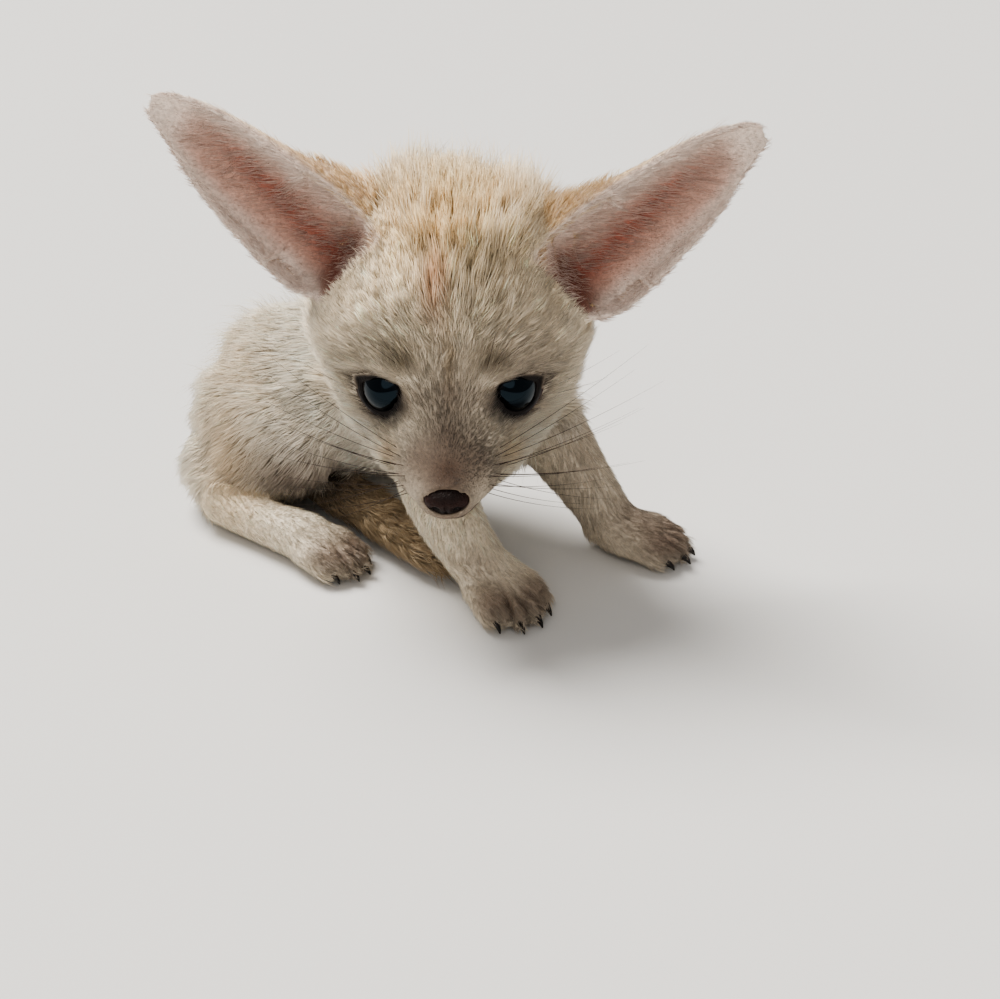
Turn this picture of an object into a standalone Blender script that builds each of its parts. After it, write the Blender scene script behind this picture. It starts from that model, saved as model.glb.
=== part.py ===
"""Fennec fox kit of about seven weeks, life size, sitting with its head lowered.

Frame: +Z up, the floor at z = 0, the face towards -Y, the origin on the floor under the
middle of the model's box. Driving sizes are in metres; stations and radii of the forms are
in millimetres, and reach to the tips of the coat.
"""

import math

import bmesh
import bpy
import numpy as np
from mathutils import Matrix, Vector
from mathutils.bvhtree import BVHTree

MM = 0.001

# Driving dimensions, in metres and degrees.
EYES_MIDDLE = (5.1, -37.3, 53.0)
EYE_RADIUS = 0.0070
HEAD_PITCH = 22.0
GAP = 0.0003
WELD = 0.00004

# The longer coat: how far its locks stand off the core, in millimetres.
COAT_DEPTH = 1.3
SEED = 7

# How fine the forms are while they are fused, and the triangles that the body keeps.
TRUNK_VOXEL = 0.0013
TRUNK_SMOOTHING = 14
BODY_VOXEL = 0.0007
BODY_SMOOTHING = 4
BODY_TRIANGLES = 4400
TAIL_TRIANGLES = 360
KEPT_TRIANGLES = {
    "head": 1900, "torso": 1150, "neck": 400, "thigh": 700, "foreleg": 320, "hind_foot": 380,
}


# Small tools

def frame(origin, heading, pitch=0.0, roll=0.0):
    """A place whose +Y is forward, +X the animal's right and +Z up, for an origin in mm.

    A heading of 0 faces -Y of the model and grows towards +X; pitch lowers the front.
    """
    turn = (
        Matrix.Rotation(math.radians(180 + heading), 4, "Z")
        @ Matrix.Rotation(math.radians(-pitch), 4, "X")
        @ Matrix.Rotation(math.radians(roll), 4, "Y")
    )
    return Matrix.Translation(Vector(origin) * MM) @ turn


def new_object(name, bm):
    mesh = bpy.data.meshes.new(name)
    bmesh.ops.recalc_face_normals(bm, faces=bm.faces)
    bm.to_mesh(mesh)
    bm.free()
    obj = bpy.data.objects.new(name, mesh)
    bpy.context.scene.collection.objects.link(obj)
    return obj


def copy_of(obj):
    twin = obj.copy()
    twin.data = obj.data.copy()
    bpy.context.scene.collection.objects.link(twin)
    return twin


def remove(*objects):
    for obj in objects:
        bpy.data.objects.remove(obj)


def bake_modifiers(obj):
    """Applies every modifier of obj."""
    graph = bpy.context.evaluated_depsgraph_get()
    mesh = bpy.data.meshes.new_from_object(obj.evaluated_get(graph))
    obj.modifiers.clear()
    obj.data = mesh
    return obj


def ball(place, centre, radii, turn=None, rings=22):
    """A ball with its own radius each way, at centre of a place, in millimetres."""
    bm = bmesh.new()
    bmesh.ops.create_uvsphere(bm, u_segments=rings + 6, v_segments=rings, radius=MM)
    shape = Matrix.Diagonal((*radii, 1.0))
    bm.transform(place @ Matrix.Translation(Vector(centre) * MM) @ (turn or Matrix()) @ shape)
    return new_object("form", bm)


def smooth_path(points, steps):
    """Points along a Catmull-Rom curve through rows of numbers, as an array."""
    rows = np.array([points[0], *points, points[-1]], float)
    rows[0] = 2 * rows[1] - rows[2]
    rows[-1] = 2 * rows[-2] - rows[-3]
    made = []
    for i in range(1, len(rows) - 2):
        a, b, c, d = rows[i - 1 : i + 3]
        for t in np.arange(steps) / steps:
            bend = 0.5 * t * (c - a) + t**2 * (a - 2.5 * b + 2 * c - 0.5 * d)
            made.append(b + bend + t**3 * (1.5 * (b - c) + 0.5 * (d - a)))
    made.append(rows[-2])
    return np.array(made)


def skin_rings(rings):
    """A closed surface through rings of as many points each, in metres."""
    bm = bmesh.new()
    loops = [[bm.verts.new(point) for point in ring] for ring in rings]
    for one, two in zip(loops, loops[1:]):
        for k in range(len(one)):
            bm.faces.new((one[k], one[k - 1], two[k - 1], two[k]))
    bm.faces.new(loops[0])
    bm.faces.new(loops[-1])
    return bm


def limb(place, stations, steps=5, sides=24, rounds=4, fullness=2.0):
    """A round-ended body through stations of (x, y, z, half width, half height), in mm.

    A fullness of 2 gives it oval sections, and more than 2 squarer ones.
    """
    rows = smooth_path(stations, steps)
    centres, radii = rows[:, :3], rows[:, 3:]
    along = np.gradient(centres, axis=0)
    along /= np.linalg.norm(along, axis=1)[:, None]
    rings = list(zip(centres, along, radii))
    for end, sign in ((0, -1), (-1, 1)):
        dome = []
        for angle in np.linspace(18, 78, rounds) if rounds > 1 else (50,):
            reach = sign * radii[end].min() * math.sin(math.radians(angle))
            size = radii[end] * math.cos(math.radians(angle))
            dome.append((centres[end] + along[end] * reach, along[end], size))
        rings = rings + dome if sign > 0 else dome[::-1] + rings

    turns = np.linspace(0, 2 * math.pi, sides, endpoint=False)
    wide = np.sign(np.cos(turns)) * np.abs(np.cos(turns)) ** (2 / fullness)
    high = np.sign(np.sin(turns)) * np.abs(np.sin(turns)) ** (2 / fullness)
    loops = []
    for centre, ahead, (half_width, half_height) in rings:
        across = (0, 0, 1) if abs(ahead[2]) < 0.93 else (0, 1, 0)
        side = np.cross(ahead, across)
        side /= np.linalg.norm(side)
        up = np.cross(side, ahead)
        ring = [centre + side * half_width * w + up * half_height * h for w, h in zip(wide, high)]
        loops.append([place @ (Vector(point) * MM) for point in ring])
    return new_object("form", skin_rings(loops))


def grown(stations, by):
    """Stations whose radii are larger all round by a number of millimetres."""
    return [(*row[:3], row[3] + by, row[4] + by) for row in stations]


def without_coat(stations):
    """Stations of the core that the longer coat stands on."""
    return grown(stations, -COAT_DEPTH)


def prism(place, outline, half_width):
    """A block with an outline of (y, z) in a place, and its half width along x, in mm."""
    sides = [[place @ (Vector((x, y, z)) * MM) for y, z in outline] for x in (-half_width, half_width)]
    return new_object("block", skin_rings(sides))


def block(place, low, high):
    """A box in a place between two corners in mm."""
    outline = [(low[1], low[2]), (high[1], low[2]), (high[1], high[2]), (low[1], high[2])]
    middle = Matrix.Translation(((low[0] + high[0]) / 2 * MM, 0, 0))
    return prism(place @ middle, outline, (high[0] - low[0]) / 2)


def fuse(name, forms, voxel, passes):
    """Joins overlapping forms into one smooth closed skin."""
    bm = bmesh.new()
    for form in forms:
        bm.from_mesh(form.data)
    remove(*forms)
    whole = new_object(name, bm)
    remesh = whole.modifiers.new("remesh", "REMESH")
    remesh.mode = "VOXEL"
    remesh.voxel_size = voxel
    relax = whole.modifiers.new("relax", "SMOOTH")
    relax.factor = 0.5
    relax.iterations = passes
    return bake_modifiers(whole)


def weld(obj):
    """Closes the slivers that a cut leaves, by merging points a hair apart."""
    bm = bmesh.new()
    bm.from_mesh(obj.data)
    bmesh.ops.remove_doubles(bm, verts=bm.verts, dist=WELD)
    bmesh.ops.dissolve_degenerate(bm, edges=bm.edges, dist=WELD / 10)
    bmesh.ops.delete(bm, geom=[edge for edge in bm.edges if not edge.link_faces], context="EDGES")
    bm.to_mesh(obj.data)
    bm.free()
    return obj


def thin_out(obj, triangles):
    """Keeps about this many triangles."""
    now = sum(len(face.vertices) - 2 for face in obj.data.polygons)
    if now > triangles:
        decimate = obj.modifiers.new("thin_out", "DECIMATE")
        decimate.ratio = triangles / now
        decimate.use_collapse_triangulate = True
        weld(bake_modifiers(obj))
    return obj


def level_base(obj):
    """Sets what lies within a hair of the floor on the floor."""
    for vertex in obj.data.vertices:
        if vertex.co.z < 0.2 * MM:
            vertex.co.z = 0


def boolean(obj, others, operation, solver="EXACT"):
    """One Boolean of obj with all the others, which are then removed."""
    tools = bpy.data.collections.new("tools")
    bpy.context.scene.collection.children.link(tools)
    for other in others:
        tools.objects.link(other)
    modifier = obj.modifiers.new("boolean", "BOOLEAN")
    modifier.operation = operation
    modifier.operand_type = "COLLECTION"
    modifier.collection = tools
    modifier.solver = solver
    bake_modifiers(obj)
    if solver == "EXACT":
        weld(obj)
    remove(*others)
    bpy.data.collections.remove(tools)
    return obj


def keep_largest(obj):
    """Keeps the largest closed surface of obj."""
    bm = bmesh.new()
    bm.from_mesh(obj.data)
    unseen = set(bm.faces)
    parts = []
    while unseen:
        edge = [unseen.pop()]
        part = list(edge)
        while edge:
            for near in (f for e in edge.pop().edges for f in e.link_faces):
                if near in unseen:
                    unseen.discard(near)
                    part.append(near)
                    edge.append(near)
        parts.append(part)
    parts.sort(key=lambda part: sum(face.calc_area() for face in part))
    spare = [face for part in parts[:-1] for face in part]
    bmesh.ops.delete(bm, geom=spare, context="FACES")
    bm.to_mesh(obj.data)
    bm.free()
    return obj


def swollen(obj, by=1.15 * GAP):
    """A copy of obj that stands out from it all over, to cut a neighbour clear of it."""
    twin = copy_of(obj)
    normals = [vertex.normal.copy() for vertex in twin.data.vertices]
    for vertex, normal in zip(twin.data.vertices, normals):
        vertex.co += normal * by
    return twin


def clear_of(obj, *neighbours):
    """Cuts obj back from its neighbours by the gap."""
    return keep_largest(boolean(obj, [swollen(n) for n in neighbours], "DIFFERENCE"))


def part_off(name, body, region):
    """Takes the part of body inside a region off it, as a node, and leaves the gap."""
    node = copy_of(body)
    node.name = name
    boolean(node, [copy_of(region)], "INTERSECT")
    keep_largest(boolean(body, [swollen(region)], "DIFFERENCE"))
    remove(region)
    return keep_largest(node)


def material(name, colour, roughness, metallic=0.0):
    made = bpy.data.materials.new(name)
    made.use_nodes = True
    shader = made.node_tree.nodes["Principled BSDF"]
    shader.inputs["Base Color"].default_value = (*colour, 1.0)
    shader.inputs["Roughness"].default_value = roughness
    shader.inputs["Metallic"].default_value = metallic
    return made


# Places

WORLD = Matrix()
HEAD = frame(EYES_MIDDLE, 0.0, HEAD_PITCH)

# The eyeball and the way it looks, for the right side, in the head's frame.
EYE_CENTRE = (12.3, -3.1, 1.0)
EYE_AXIS = Vector((0.41, 0.89, 0.2)).normalized()


def mirrored(values, side):
    """The point or station of the right side, or its mirror image for a side of -1."""
    return (values[0] * side, *values[1:])


# Head

SKULL = [(0, -45, 2, 19, 19), (0, -40, 3.5, 27, 25), (0, -30, 6, 33.5, 31), (0, -18, 5, 33.5, 29),
         (0, -9, 0, 29, 20.5), (0, -1, -3.2, 22.5, 13.6), (0, 6, -5.4, 14.8, 10.6),
         (0, 13, -6.8, 11.2, 8.9), (0, 19, -7.4, 9.2, 7.4), (0, 24.2, -7.2, 6.8, 5.6)]
CHEEKS = [(0, -16, -9, 29, 14), (0, -6, -11, 25, 11), (0, 3, -12.4, 19.5, 8), (0, 11, -12.8, 13.6, 5.6),
          (0, 17, -12.4, 9.6, 4.2), (0, 20.8, -12, 6, 3.2)]


def brow_forms():
    """The brows, and the lids' domes over the eyeballs."""
    forms = []
    for side in (1, -1):
        forms.append(ball(HEAD, mirrored((9.6, -2.6, 7.4), side), (8.4, 7.2, 4.6)))
        forms.append(ball(HEAD, mirrored(EYE_CENTRE, side), (8.6, 8.6, 8.6)))
    return forms


def eye_place(side):
    """A place at the eyeball's middle whose +Y is the way it looks, x along the slit."""
    axis = Vector(mirrored(EYE_AXIS, side))
    turn = axis.to_track_quat("Y", "Z").to_matrix().to_4x4()
    slant = Matrix.Rotation(math.radians(28 * side), 4, "Y")
    return HEAD @ Matrix.Translation(Vector(mirrored(EYE_CENTRE, side)) * MM) @ turn @ slant


def add_eye(head, name, side):
    """Opens the lids of a side and sets its eyeball behind them."""
    place = eye_place(side)
    opening = ball(place, (0, 8.6, 0), (6.3, 6.4, 4.5), rings=12)
    boolean(head, [opening], "DIFFERENCE")
    bm = bmesh.new()
    bmesh.ops.create_uvsphere(bm, u_segments=14, v_segments=9, radius=EYE_RADIUS, matrix=place)
    eye = new_object(name, bm)
    boolean(head, [swollen(eye)], "DIFFERENCE")
    keep_largest(head)
    return eye


def add_nose(head):
    nose = limb(HEAD, [(0, 22.6, -5.6, 3.4, 2.0), (0, 25.2, -5.8, 4.9, 2.7),
                       (0, 26.4, -6.2, 4.7, 2.8)], steps=1, sides=14, rounds=3)
    nose.name = "nose"
    clear_of(head, nose)
    nostrils = [ball(HEAD, (2.6 * side, 29.0, -6.4), (1.1, 2.4, 0.8), rings=6) for side in (1, -1)]
    groove = block(HEAD, (-0.25, 28.7, -11), (0.25, 32, -5.6))
    boolean(nose, nostrils + [groove], "DIFFERENCE")
    return keep_largest(nose)


def cut_mouth(head):
    """The line of the mouth, from under the nose to its corners below the eyes."""
    inner = [(0, 25), (3.4, 24), (5.8, 20.8), (8.4, 16.4), (11.6, 11.2), (14.6, 6)]
    rows = smooth_path(inner, 3)
    bm = bmesh.new()
    loops = []
    for side in (1, -1):
        for x, y in rows if side < 0 else rows[:0:-1]:
            away = Vector((x * side, 0, 0)) * 0.5 + Vector((0, max(y - 18, 0), 0))
            away = away.normalized() * 3.2 if away.length else Vector((0, 3.2, 0))
            drop = -10.6 - 0.07 * (24.5 - y)
            ring = []
            for out, lift in ((0, -0.22), (1, -0.3), (1, 0.3), (0, 0.22)):
                point = Vector((x * side, y, drop + lift)) + away * out
                ring.append(HEAD @ (point * MM))
            loops.append(ring)
    return boolean(head, [new_object("blade", skin_rings(loops))], "DIFFERENCE")


# Ears

# Base, tip, and the way the cup opens, in the model's frame.
EARS = {
    "right": ((-16.0, -29, 83.0), (-61.8, -14, 111.2), (-0.34, -1, 0.0)),
    "left": ((30.1, -29, 78.6), (76.6, -14, 104.8), (0.34, -1, 0.0)),
}
EAR_STATIONS = [
    # share of the length, middle, half width, depth of the cup, depth of the back, wall
    (-0.24, 0.0, 8.0, 0.0, 14.0, 1.6), (-0.08, 1.2, 9.6, 0.0, 17.0, 1.7), (0.0, 2.2, 11.2, 1.5, 17.5, 1.8),
    (0.07, 3.0, 12.6, 5.5, 17.0, 1.8), (0.18, 3.2, 13.5, 8.6, 15.0, 1.7), (0.32, 2.6, 12.9, 8.2, 11.6, 1.6),
    (0.46, 1.5, 11.8, 6.8, 8.4, 1.4), (0.60, 0.5, 10.7, 5.2, 6.6, 1.3), (0.72, -0.7, 9.0, 3.8, 5.1, 1.3),
    (0.82, -1.7, 7.0, 2.7, 3.9, 1.2), (0.90, -2.2, 5.1, 1.8, 2.9, 1.1), (0.96, -2.1, 3.6, 1.0, 2.0, 1.0),
    (1.0, -1.7, 1.9, 0.4, 1.3, 0.8),
]


def ear(key):
    """A cupped ear, closed at its root and open along its front."""
    base, tip, facing = (Vector(values) for values in EARS[key])
    along = (tip - base).normalized()
    lateral = along.cross(facing).normalized()
    if lateral.z > 0:
        lateral = -lateral
    out = along.cross(lateral).normalized()
    if out.y > 0:
        out = -out
    length = (tip - base).length
    half_turn = np.radians(np.linspace(-90, 90, 9))
    loops = []
    for share, middle, half, depth, back, wall in EAR_STATIONS:
        centre = base + along * length * share + lateral * middle
        skew = lateral * -0.42 * (back - 3)
        inner = half - wall
        ring = []
        for turn in half_turn:
            ring.append(centre + lateral * half * math.sin(turn) + (skew - out * back) * math.cos(turn))
        ring.append(centre + lateral * (half - 0.5 * wall) + out * 0.6 * wall)
        for turn in half_turn[::-1]:
            ring.append(centre + lateral * inner * math.sin(turn) - out * depth * math.cos(turn))
        ring.append(centre - lateral * (half - 0.5 * wall) + out * 0.6 * wall)
        loops.append([point * MM for point in ring])
    return new_object(f"ear_{key}", skin_rings(loops))


# Body, legs and tail

TORSO = [(-57, 35, 21, 13, 16), (-46, 28, 30, 20, 25), (-30, 18, 35, 21, 25),
         (-10, 7, 38, 21, 26), (8, -3, 38, 19, 23), (17, -10, 36, 13, 16)]
NECK = [(-7, 12, 47, 21, 20), (2, 2, 57, 24, 22), (5.1, -11, 63, 27, 25)]

# Shoulder to wrist.
FORELEGS = {
    "right": [(2, -14, 38, 12, 13), (0, -22, 27, 10.5, 11), (5, -33, 18, 8.4, 8.8), (12, -38.5, 9, 7.4, 7.2)],
    "left": [(15, 4, 42, 12, 13), (27, -3, 33, 11, 11.5), (36, -9, 22, 8.6, 9), (45, -13, 10, 7.6, 7.4)],
}
# The floor under the middle of a paw, and its heading.
FOREPAWS = {
    "right": ((15.5, -41, 0), 32),
    "left": ((51.5, -15.5, 0), 68),
}
THIGHS = {
    "right": [(-55, 22, 26, 17, 19), (-51, 14, 26, 18, 19), (-43, 5, 25, 14.5, 16), (-35, -2, 23.5, 9.5, 11)],
    "left": [(-38, 49, 26, 15, 18), (-31, 47, 27, 15, 17), (-22, 43, 25, 12, 14), (-13, 38, 22, 8, 10)],
}
SHANKS = {
    "right": [(-39, 0, 19, 9, 9), (-50, 4, 15, 10, 10), (-63, 6, 10, 8.5, 9.5)],
    "left": [(-15, 39, 19, 8, 8), (-28, 47, 15, 8.5, 9), (-42, 55, 9, 7, 8.5)],
}
# The buttock and thigh spread where they rest.
SEATS = {
    "right": ((-57.5, 16, 13), (18.5, 17, 17)),
    "left": ((-45, 48, 12), (14, 13, 13)),
}
# Heel, heading and length.
FEET = {
    "right": ((-65, 2, 0), 55.0, 57.0),
    "left": ((-45, 57, 0), 62.0, 56.0),
}
TAIL = [(-60, 40, 25, 6, 6), (-68, 38, 17, 6.2, 6.2), (-63, 34, 8.6, 6.6, 6.6), (-50, 26, 7.4, 7.0, 7.0),
        (-36, 13, 7.4, 7.4, 7.2), (-24, 0, 7.6, 7.9, 7.5), (-13, -13, 7.4, 7.7, 7.3),
        (-4, -25, 6.4, 5.9, 6.0), (2.2, -33, 4.6, 2.8, 3.0)]
# Where the tail is parted: a point on its path, and the heading of the path there.
TAIL_CUTS = {"tail_base": ((-50, 26, 7), 46), "tail_tip": ((-19, -6, 7), 40)}

# Across a paw: the toe's place as a share of the half width, its reach and its radius.
TOES = [(-0.74, 8.2, 3.5), (-0.26, 11.2, 3.8), (0.26, 11.2, 3.8), (0.74, 8.2, 3.5)]
FOREPAW_WIDTH = 17.5
HIND_PAW_WIDTH = 14.5


def paw_forms(place, width, rear):
    """A paw in a place whose origin is on the floor under its middle: palm and toes."""
    forms = [limb(place, [(0, rear, 6.6, 6.4, 6.6), (0, -3, 6.4, 0.46 * width, 6.6),
                          (0, 4, 5.2, 0.45 * width, 5.4)])]
    for share, reach, radius in TOES:
        x = share * width / 2
        forms.append(limb(place, [(0.8 * x, -2, 5.6, radius, 4.4), (x, 0.5 * reach, 5.4, radius, 4.2),
                                  (1.08 * x, reach, 3.7, 0.9 * radius, 3.7)], steps=3, sides=14))
    return forms


def paw_claws(name, place, width):
    claws = []
    for k, (share, reach, radius) in enumerate(TOES):
        x, y = 1.08 * share * width / 2, reach + 0.5 * radius
        claw = limb(place, [(x, y, 3.2, 1.0, 1.2), (1.01 * x, y + 1.8, 2.9, 0.85, 1.0),
                            (1.02 * x, y + 3.0, 2.0, 0.5, 0.6), (1.03 * x, y + 3.5, 1.2, 0.2, 0.25)],
                    steps=1, sides=6, rounds=1)
        claw.name = f"{name}_claw_{k + 1}"
        claws.append(claw)
    return claws


def paw_place(key):
    middle, heading = FOREPAWS[key]
    return frame(middle, heading)


def foot_place(key):
    """A place on the floor under the middle of a hind foot's toes."""
    heel, heading, length = FEET[key]
    return frame(heel, heading) @ Matrix.Translation((0, (length - 16) * MM, 0))


def foot_forms(key):
    heel, heading, length = FEET[key]
    place = frame(heel, heading)
    forms = [limb(place, [(0, 5, 8, 6, 7), (0, 14, 6.8, 5.8, 6.4), (0, 26, 6.6, 6.2, 6.4),
                          (0, length - 19, 6.8, 7.0, 6.8)])]
    return forms + paw_forms(foot_place(key), HIND_PAW_WIDTH, -8)


def trunk_forms():
    forms = [limb(HEAD, without_coat(SKULL[:4]) + SKULL[4:], sides=36, fullness=2.1),
             limb(HEAD, CHEEKS, sides=32), limb(WORLD, without_coat(TORSO)), limb(WORLD, without_coat(NECK))]
    for key in ("right", "left"):
        centre, radii = SEATS[key]
        forms += [limb(WORLD, FORELEGS[key]), limb(WORLD, without_coat(THIGHS[key])),
                  limb(WORLD, SHANKS[key]), ball(WORLD, centre, [radius - COAT_DEPTH for radius in radii])]
    return forms


def body(floor):
    """The body's one smooth skin, flat where it rests on the floor."""
    trunk = fuse("trunk", trunk_forms(), TRUNK_VOXEL, TRUNK_SMOOTHING)
    forms = [trunk] + brow_forms()
    for key in ("right", "left"):
        forms += paw_forms(paw_place(key), FOREPAW_WIDTH, -8) + foot_forms(key)
    made = fuse("torso", forms, BODY_VOXEL, BODY_SMOOTHING)
    thin_out(made, BODY_TRIANGLES)
    return keep_largest(boolean(made, [floor], "DIFFERENCE"))


# Parting

def head_region():
    """What lies before a cut from the nape to the throat."""
    outline = [(-52, 46), (-44, 16), (-27, -22), (-13, -22.5), (46, -21), (46, 60), (-52, 60)]
    return prism(HEAD, outline, 42)


def neck_region():
    outline = [(-74, 30), (-57, -2), (-37, -29), (-20, -29), (-12, -22.5), (46, -21), (46, 60), (-74, 60)]
    return prism(HEAD, outline, 31)


def region_limb(stations, by):
    return limb(WORLD, grown(stations, by), steps=1, sides=12, rounds=2)


def part_body(whole):
    nodes = {"head": part_off("head", whole, head_region()), "neck": part_off("neck", whole, neck_region())}
    for key in ("right", "left"):
        wrist = block(paw_place(key), (-13, -7, -4), (13, 30, 13.5))
        nodes[f"forepaw_{key}"] = part_off(f"forepaw_{key}", whole, wrist)
        leg = region_limb(FORELEGS[key][1:], 2.6)
        nodes[f"foreleg_{key}"] = part_off(f"foreleg_{key}", whole, leg)
        heel, heading, length = FEET[key]
        foot = block(frame(heel, heading), (-11, 2, -4), (11, length + 20, 14.5))
        nodes[f"hind_foot_{key}"] = part_off(f"hind_foot_{key}", whole, foot)
        centre, radii = SEATS[key]
        seat = ball(WORLD, centre, [radius + 2.2 for radius in radii], rings=8)
        thigh = boolean(region_limb(THIGHS[key], 2.2), [seat], "UNION")
        nodes[f"thigh_{key}"] = part_off(f"thigh_{key}", whole, thigh)
    nodes["torso"] = whole
    for name, obj in nodes.items():
        for start, triangles in KEPT_TRIANGLES.items():
            if name.startswith(start):
                level_base(thin_out(obj, triangles))
    return nodes


def part_tail(tail):
    """Leaves the middle of the tail, and takes its base and tip off as nodes."""
    point, heading = TAIL_CUTS["tail_base"]
    base = block(frame(point, heading), (-40, -60, -8), (40, 0, 40))
    point, heading = TAIL_CUTS["tail_tip"]
    tip = block(frame(point, heading), (-40, 0, -8), (40, 60, 40))
    return {"tail_base": part_off("tail_base", tail, base), "tail_tip": part_off("tail_tip", tail, tip),
            "tail_middle": tail}


# Locks of the longer coat

def away_from_nose(point):
    return point - HEAD @ (Vector((0, 34, -2)) * MM) - Vector((0, 0, 12)) * MM


def along_body(point):
    return Vector((-0.85, 0.42, -0.32))


def down_haunch(point):
    return Vector((-0.62, 0.36, -0.7))


def along_tail(point):
    rows = [Vector(row[:3]) * MM for row in TAIL]
    near = min(range(len(rows) - 1), key=lambda n: (rows[n] - point).length)
    return rows[near + 1] - rows[near]


def on_crown(point):
    """Above and behind the forehead, in the head's frame."""
    _, y, z = HEAD.inverted() @ point / MM
    return z > 22 and y < -9


def on_cheek(point):
    """Down the sides of the head, behind the eyes."""
    x, y, z = HEAD.inverted() @ point / MM
    return -14 < z < 14 and y < -10 and abs(x) > 12


def on_back(point):
    return point.z > 30 * MM


def off_the_floor(point):
    return point.z > 8 * MM


# How far a lock's root is sunk, and how thick it is, in metres.
LOCK_ROOT = 0.0021
LOCK_THICKNESS = 0.0011
# How many chance places a coat tries for its roots.
ROOTS_TRIED = 1500

# A lock that meets a neighbour is tried again shorter and higher: shares of its length and lift.
LOCK_TRIES = [(1, 1), (0.8, 1.3), (0.62, 1.6)]

COATS = [
    # node, where its locks root, their lie, how many, spacing, length, width, lift, in mm
    ("head", on_crown, away_from_nose, 34, 4.8, 10.5, 4.8, 1.8),
    ("head", on_cheek, away_from_nose, 22, 5.8, 10.5, 5.2, 1.5),
    ("neck", off_the_floor, along_body, 10, 6.5, 12.0, 7.0, 1.6),
    ("torso", on_back, along_body, 30, 7.0, 14.0, 8.0, 1.4),
    ("thigh_right", off_the_floor, down_haunch, 16, 7.5, 13.0, 7.6, 1.4),
    ("thigh_left", off_the_floor, down_haunch, 12, 7.5, 13.0, 7.6, 1.4),
    ("tail_base", off_the_floor, along_tail, 5, 5.0, 9.0, 4.6, 1.4),
    ("tail_middle", off_the_floor, along_tail, 8, 5.0, 10.0, 4.6, 1.4),
    ("tail_tip", off_the_floor, along_tail, 9, 4.5, 10.0, 4.2, 1.4),
]


def surface_points(obj, rng, inside):
    """Points spread by chance over obj, each with its normal, where inside holds."""
    corners = np.array([vertex.co for vertex in obj.data.vertices])
    low, high = corners.min(axis=0), corners.max(axis=0)
    tree = tree_of([obj])
    for share in rng.random((ROOTS_TRIED, 3)):
        point, normal, _, _ = tree.find_nearest(low + (high - low) * share)
        if inside(point):
            yield point, normal


def lock(skin, root, normal, lie, length, width, lift, lean):
    """One flat, tapered lock that roots under the skin and lies along it, bent to its curve."""
    ahead = (lie - normal * lie.dot(normal)).normalized()
    ahead = (ahead + normal.cross(ahead) * lean).normalized()
    rings = [(root - normal * LOCK_ROOT - ahead * LOCK_ROOT / 2, normal, ahead, 0.8)]
    spot, steps = root.copy(), 6
    for step in range(1, steps + 1):
        hit, up, _, _ = skin.find_nearest(spot + ahead * length / steps)
        spot = hit + up * (LOCK_THICKNESS / 3 + lift * step / steps)
        ahead = (ahead - up * ahead.dot(up) - up.cross(ahead) * lean / steps).normalized()
        if step % 2 == 0:
            rings.append((spot.copy(), up.copy(), ahead.copy(), 1.0 if step == 2 else 0.74))

    bm = bmesh.new()
    loops = []
    for spot, up, ahead, size in rings[:-1]:
        side = ahead.cross(up).normalized() * width * 0.5 * size
        rise = up * LOCK_THICKNESS * 0.5
        loops.append([bm.verts.new(spot + offset) for offset in (side, rise, -side, -rise)])
    tip = bm.verts.new(rings[-1][0])
    for one, two in zip(loops, loops[1:]):
        for k in range(4):
            bm.faces.new((one[k], one[k - 1], two[k - 1], two[k]))
    for k in range(4):
        bm.faces.new((loops[-1][k], loops[-1][k - 1], tip))
    bm.faces.new(loops[0])
    bmesh.ops.triangulate(bm, faces=bm.faces)
    return new_object("lock", bm)


def tree_of(objects, swell=0.0):
    """A tree of the faces of objects, in an order that hangs on their places alone."""
    bm = bmesh.new()
    for obj in objects:
        bm.from_mesh(obj.data)
    for vertex in bm.verts:
        vertex.co += vertex.normal * swell
    faces = sorted([tuple(v.co.copy() for v in face.verts) for face in bm.faces],
                   key=lambda face: tuple(sum(face, Vector())))
    bm.free()
    corners = [corner for face in faces for corner in face]
    ends = np.cumsum([len(face) for face in faces])
    rows = [range(end - len(face), end) for face, end in zip(faces, ends)]
    return BVHTree.FromPolygons(corners, rows)


def add_locks(nodes):
    """Grows the locks of every coat, clear of the floor, the other nodes and their locks."""
    rng = np.random.default_rng(SEED)
    skin = tree_of([obj for name, obj in nodes.items() if "claw" not in name])
    locks = {name: [] for name, *_ in COATS}
    for name, inside, lie, wanted, spacing, length, width, lift in COATS:
        others = [tree_of([obj for other, obj in nodes.items() if other != name])]
        others += [tree_of([rival]) for other, rows in locks.items() if other != name for rival in rows]
        roots = []
        for root, normal in surface_points(nodes[name], rng, inside):
            if len(roots) == wanted:
                break
            if any((root - other).length < spacing * MM for other in roots):
                continue
            size = rng.uniform(0.85, 1.2)
            lean = rng.uniform(-0.2, 0.2)
            for shorter, higher in LOCK_TRIES:
                made = lock(skin, root, normal, lie(root), size * shorter * length * MM,
                            size * width * MM, higher * lift * MM, lean)
                outer = tree_of([made], 1.3 * GAP)
                low = min(vertex.co.z for vertex in made.data.vertices)
                if low > GAP and not any(outer.overlap(other) for other in others):
                    locks[name].append(made)
                    roots.append(root)
                    break
                remove(made)
    for name, rows in locks.items():
        keep_largest(boolean(nodes[name], rows, "UNION", "MANIFOLD"))


# Colours

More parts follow.
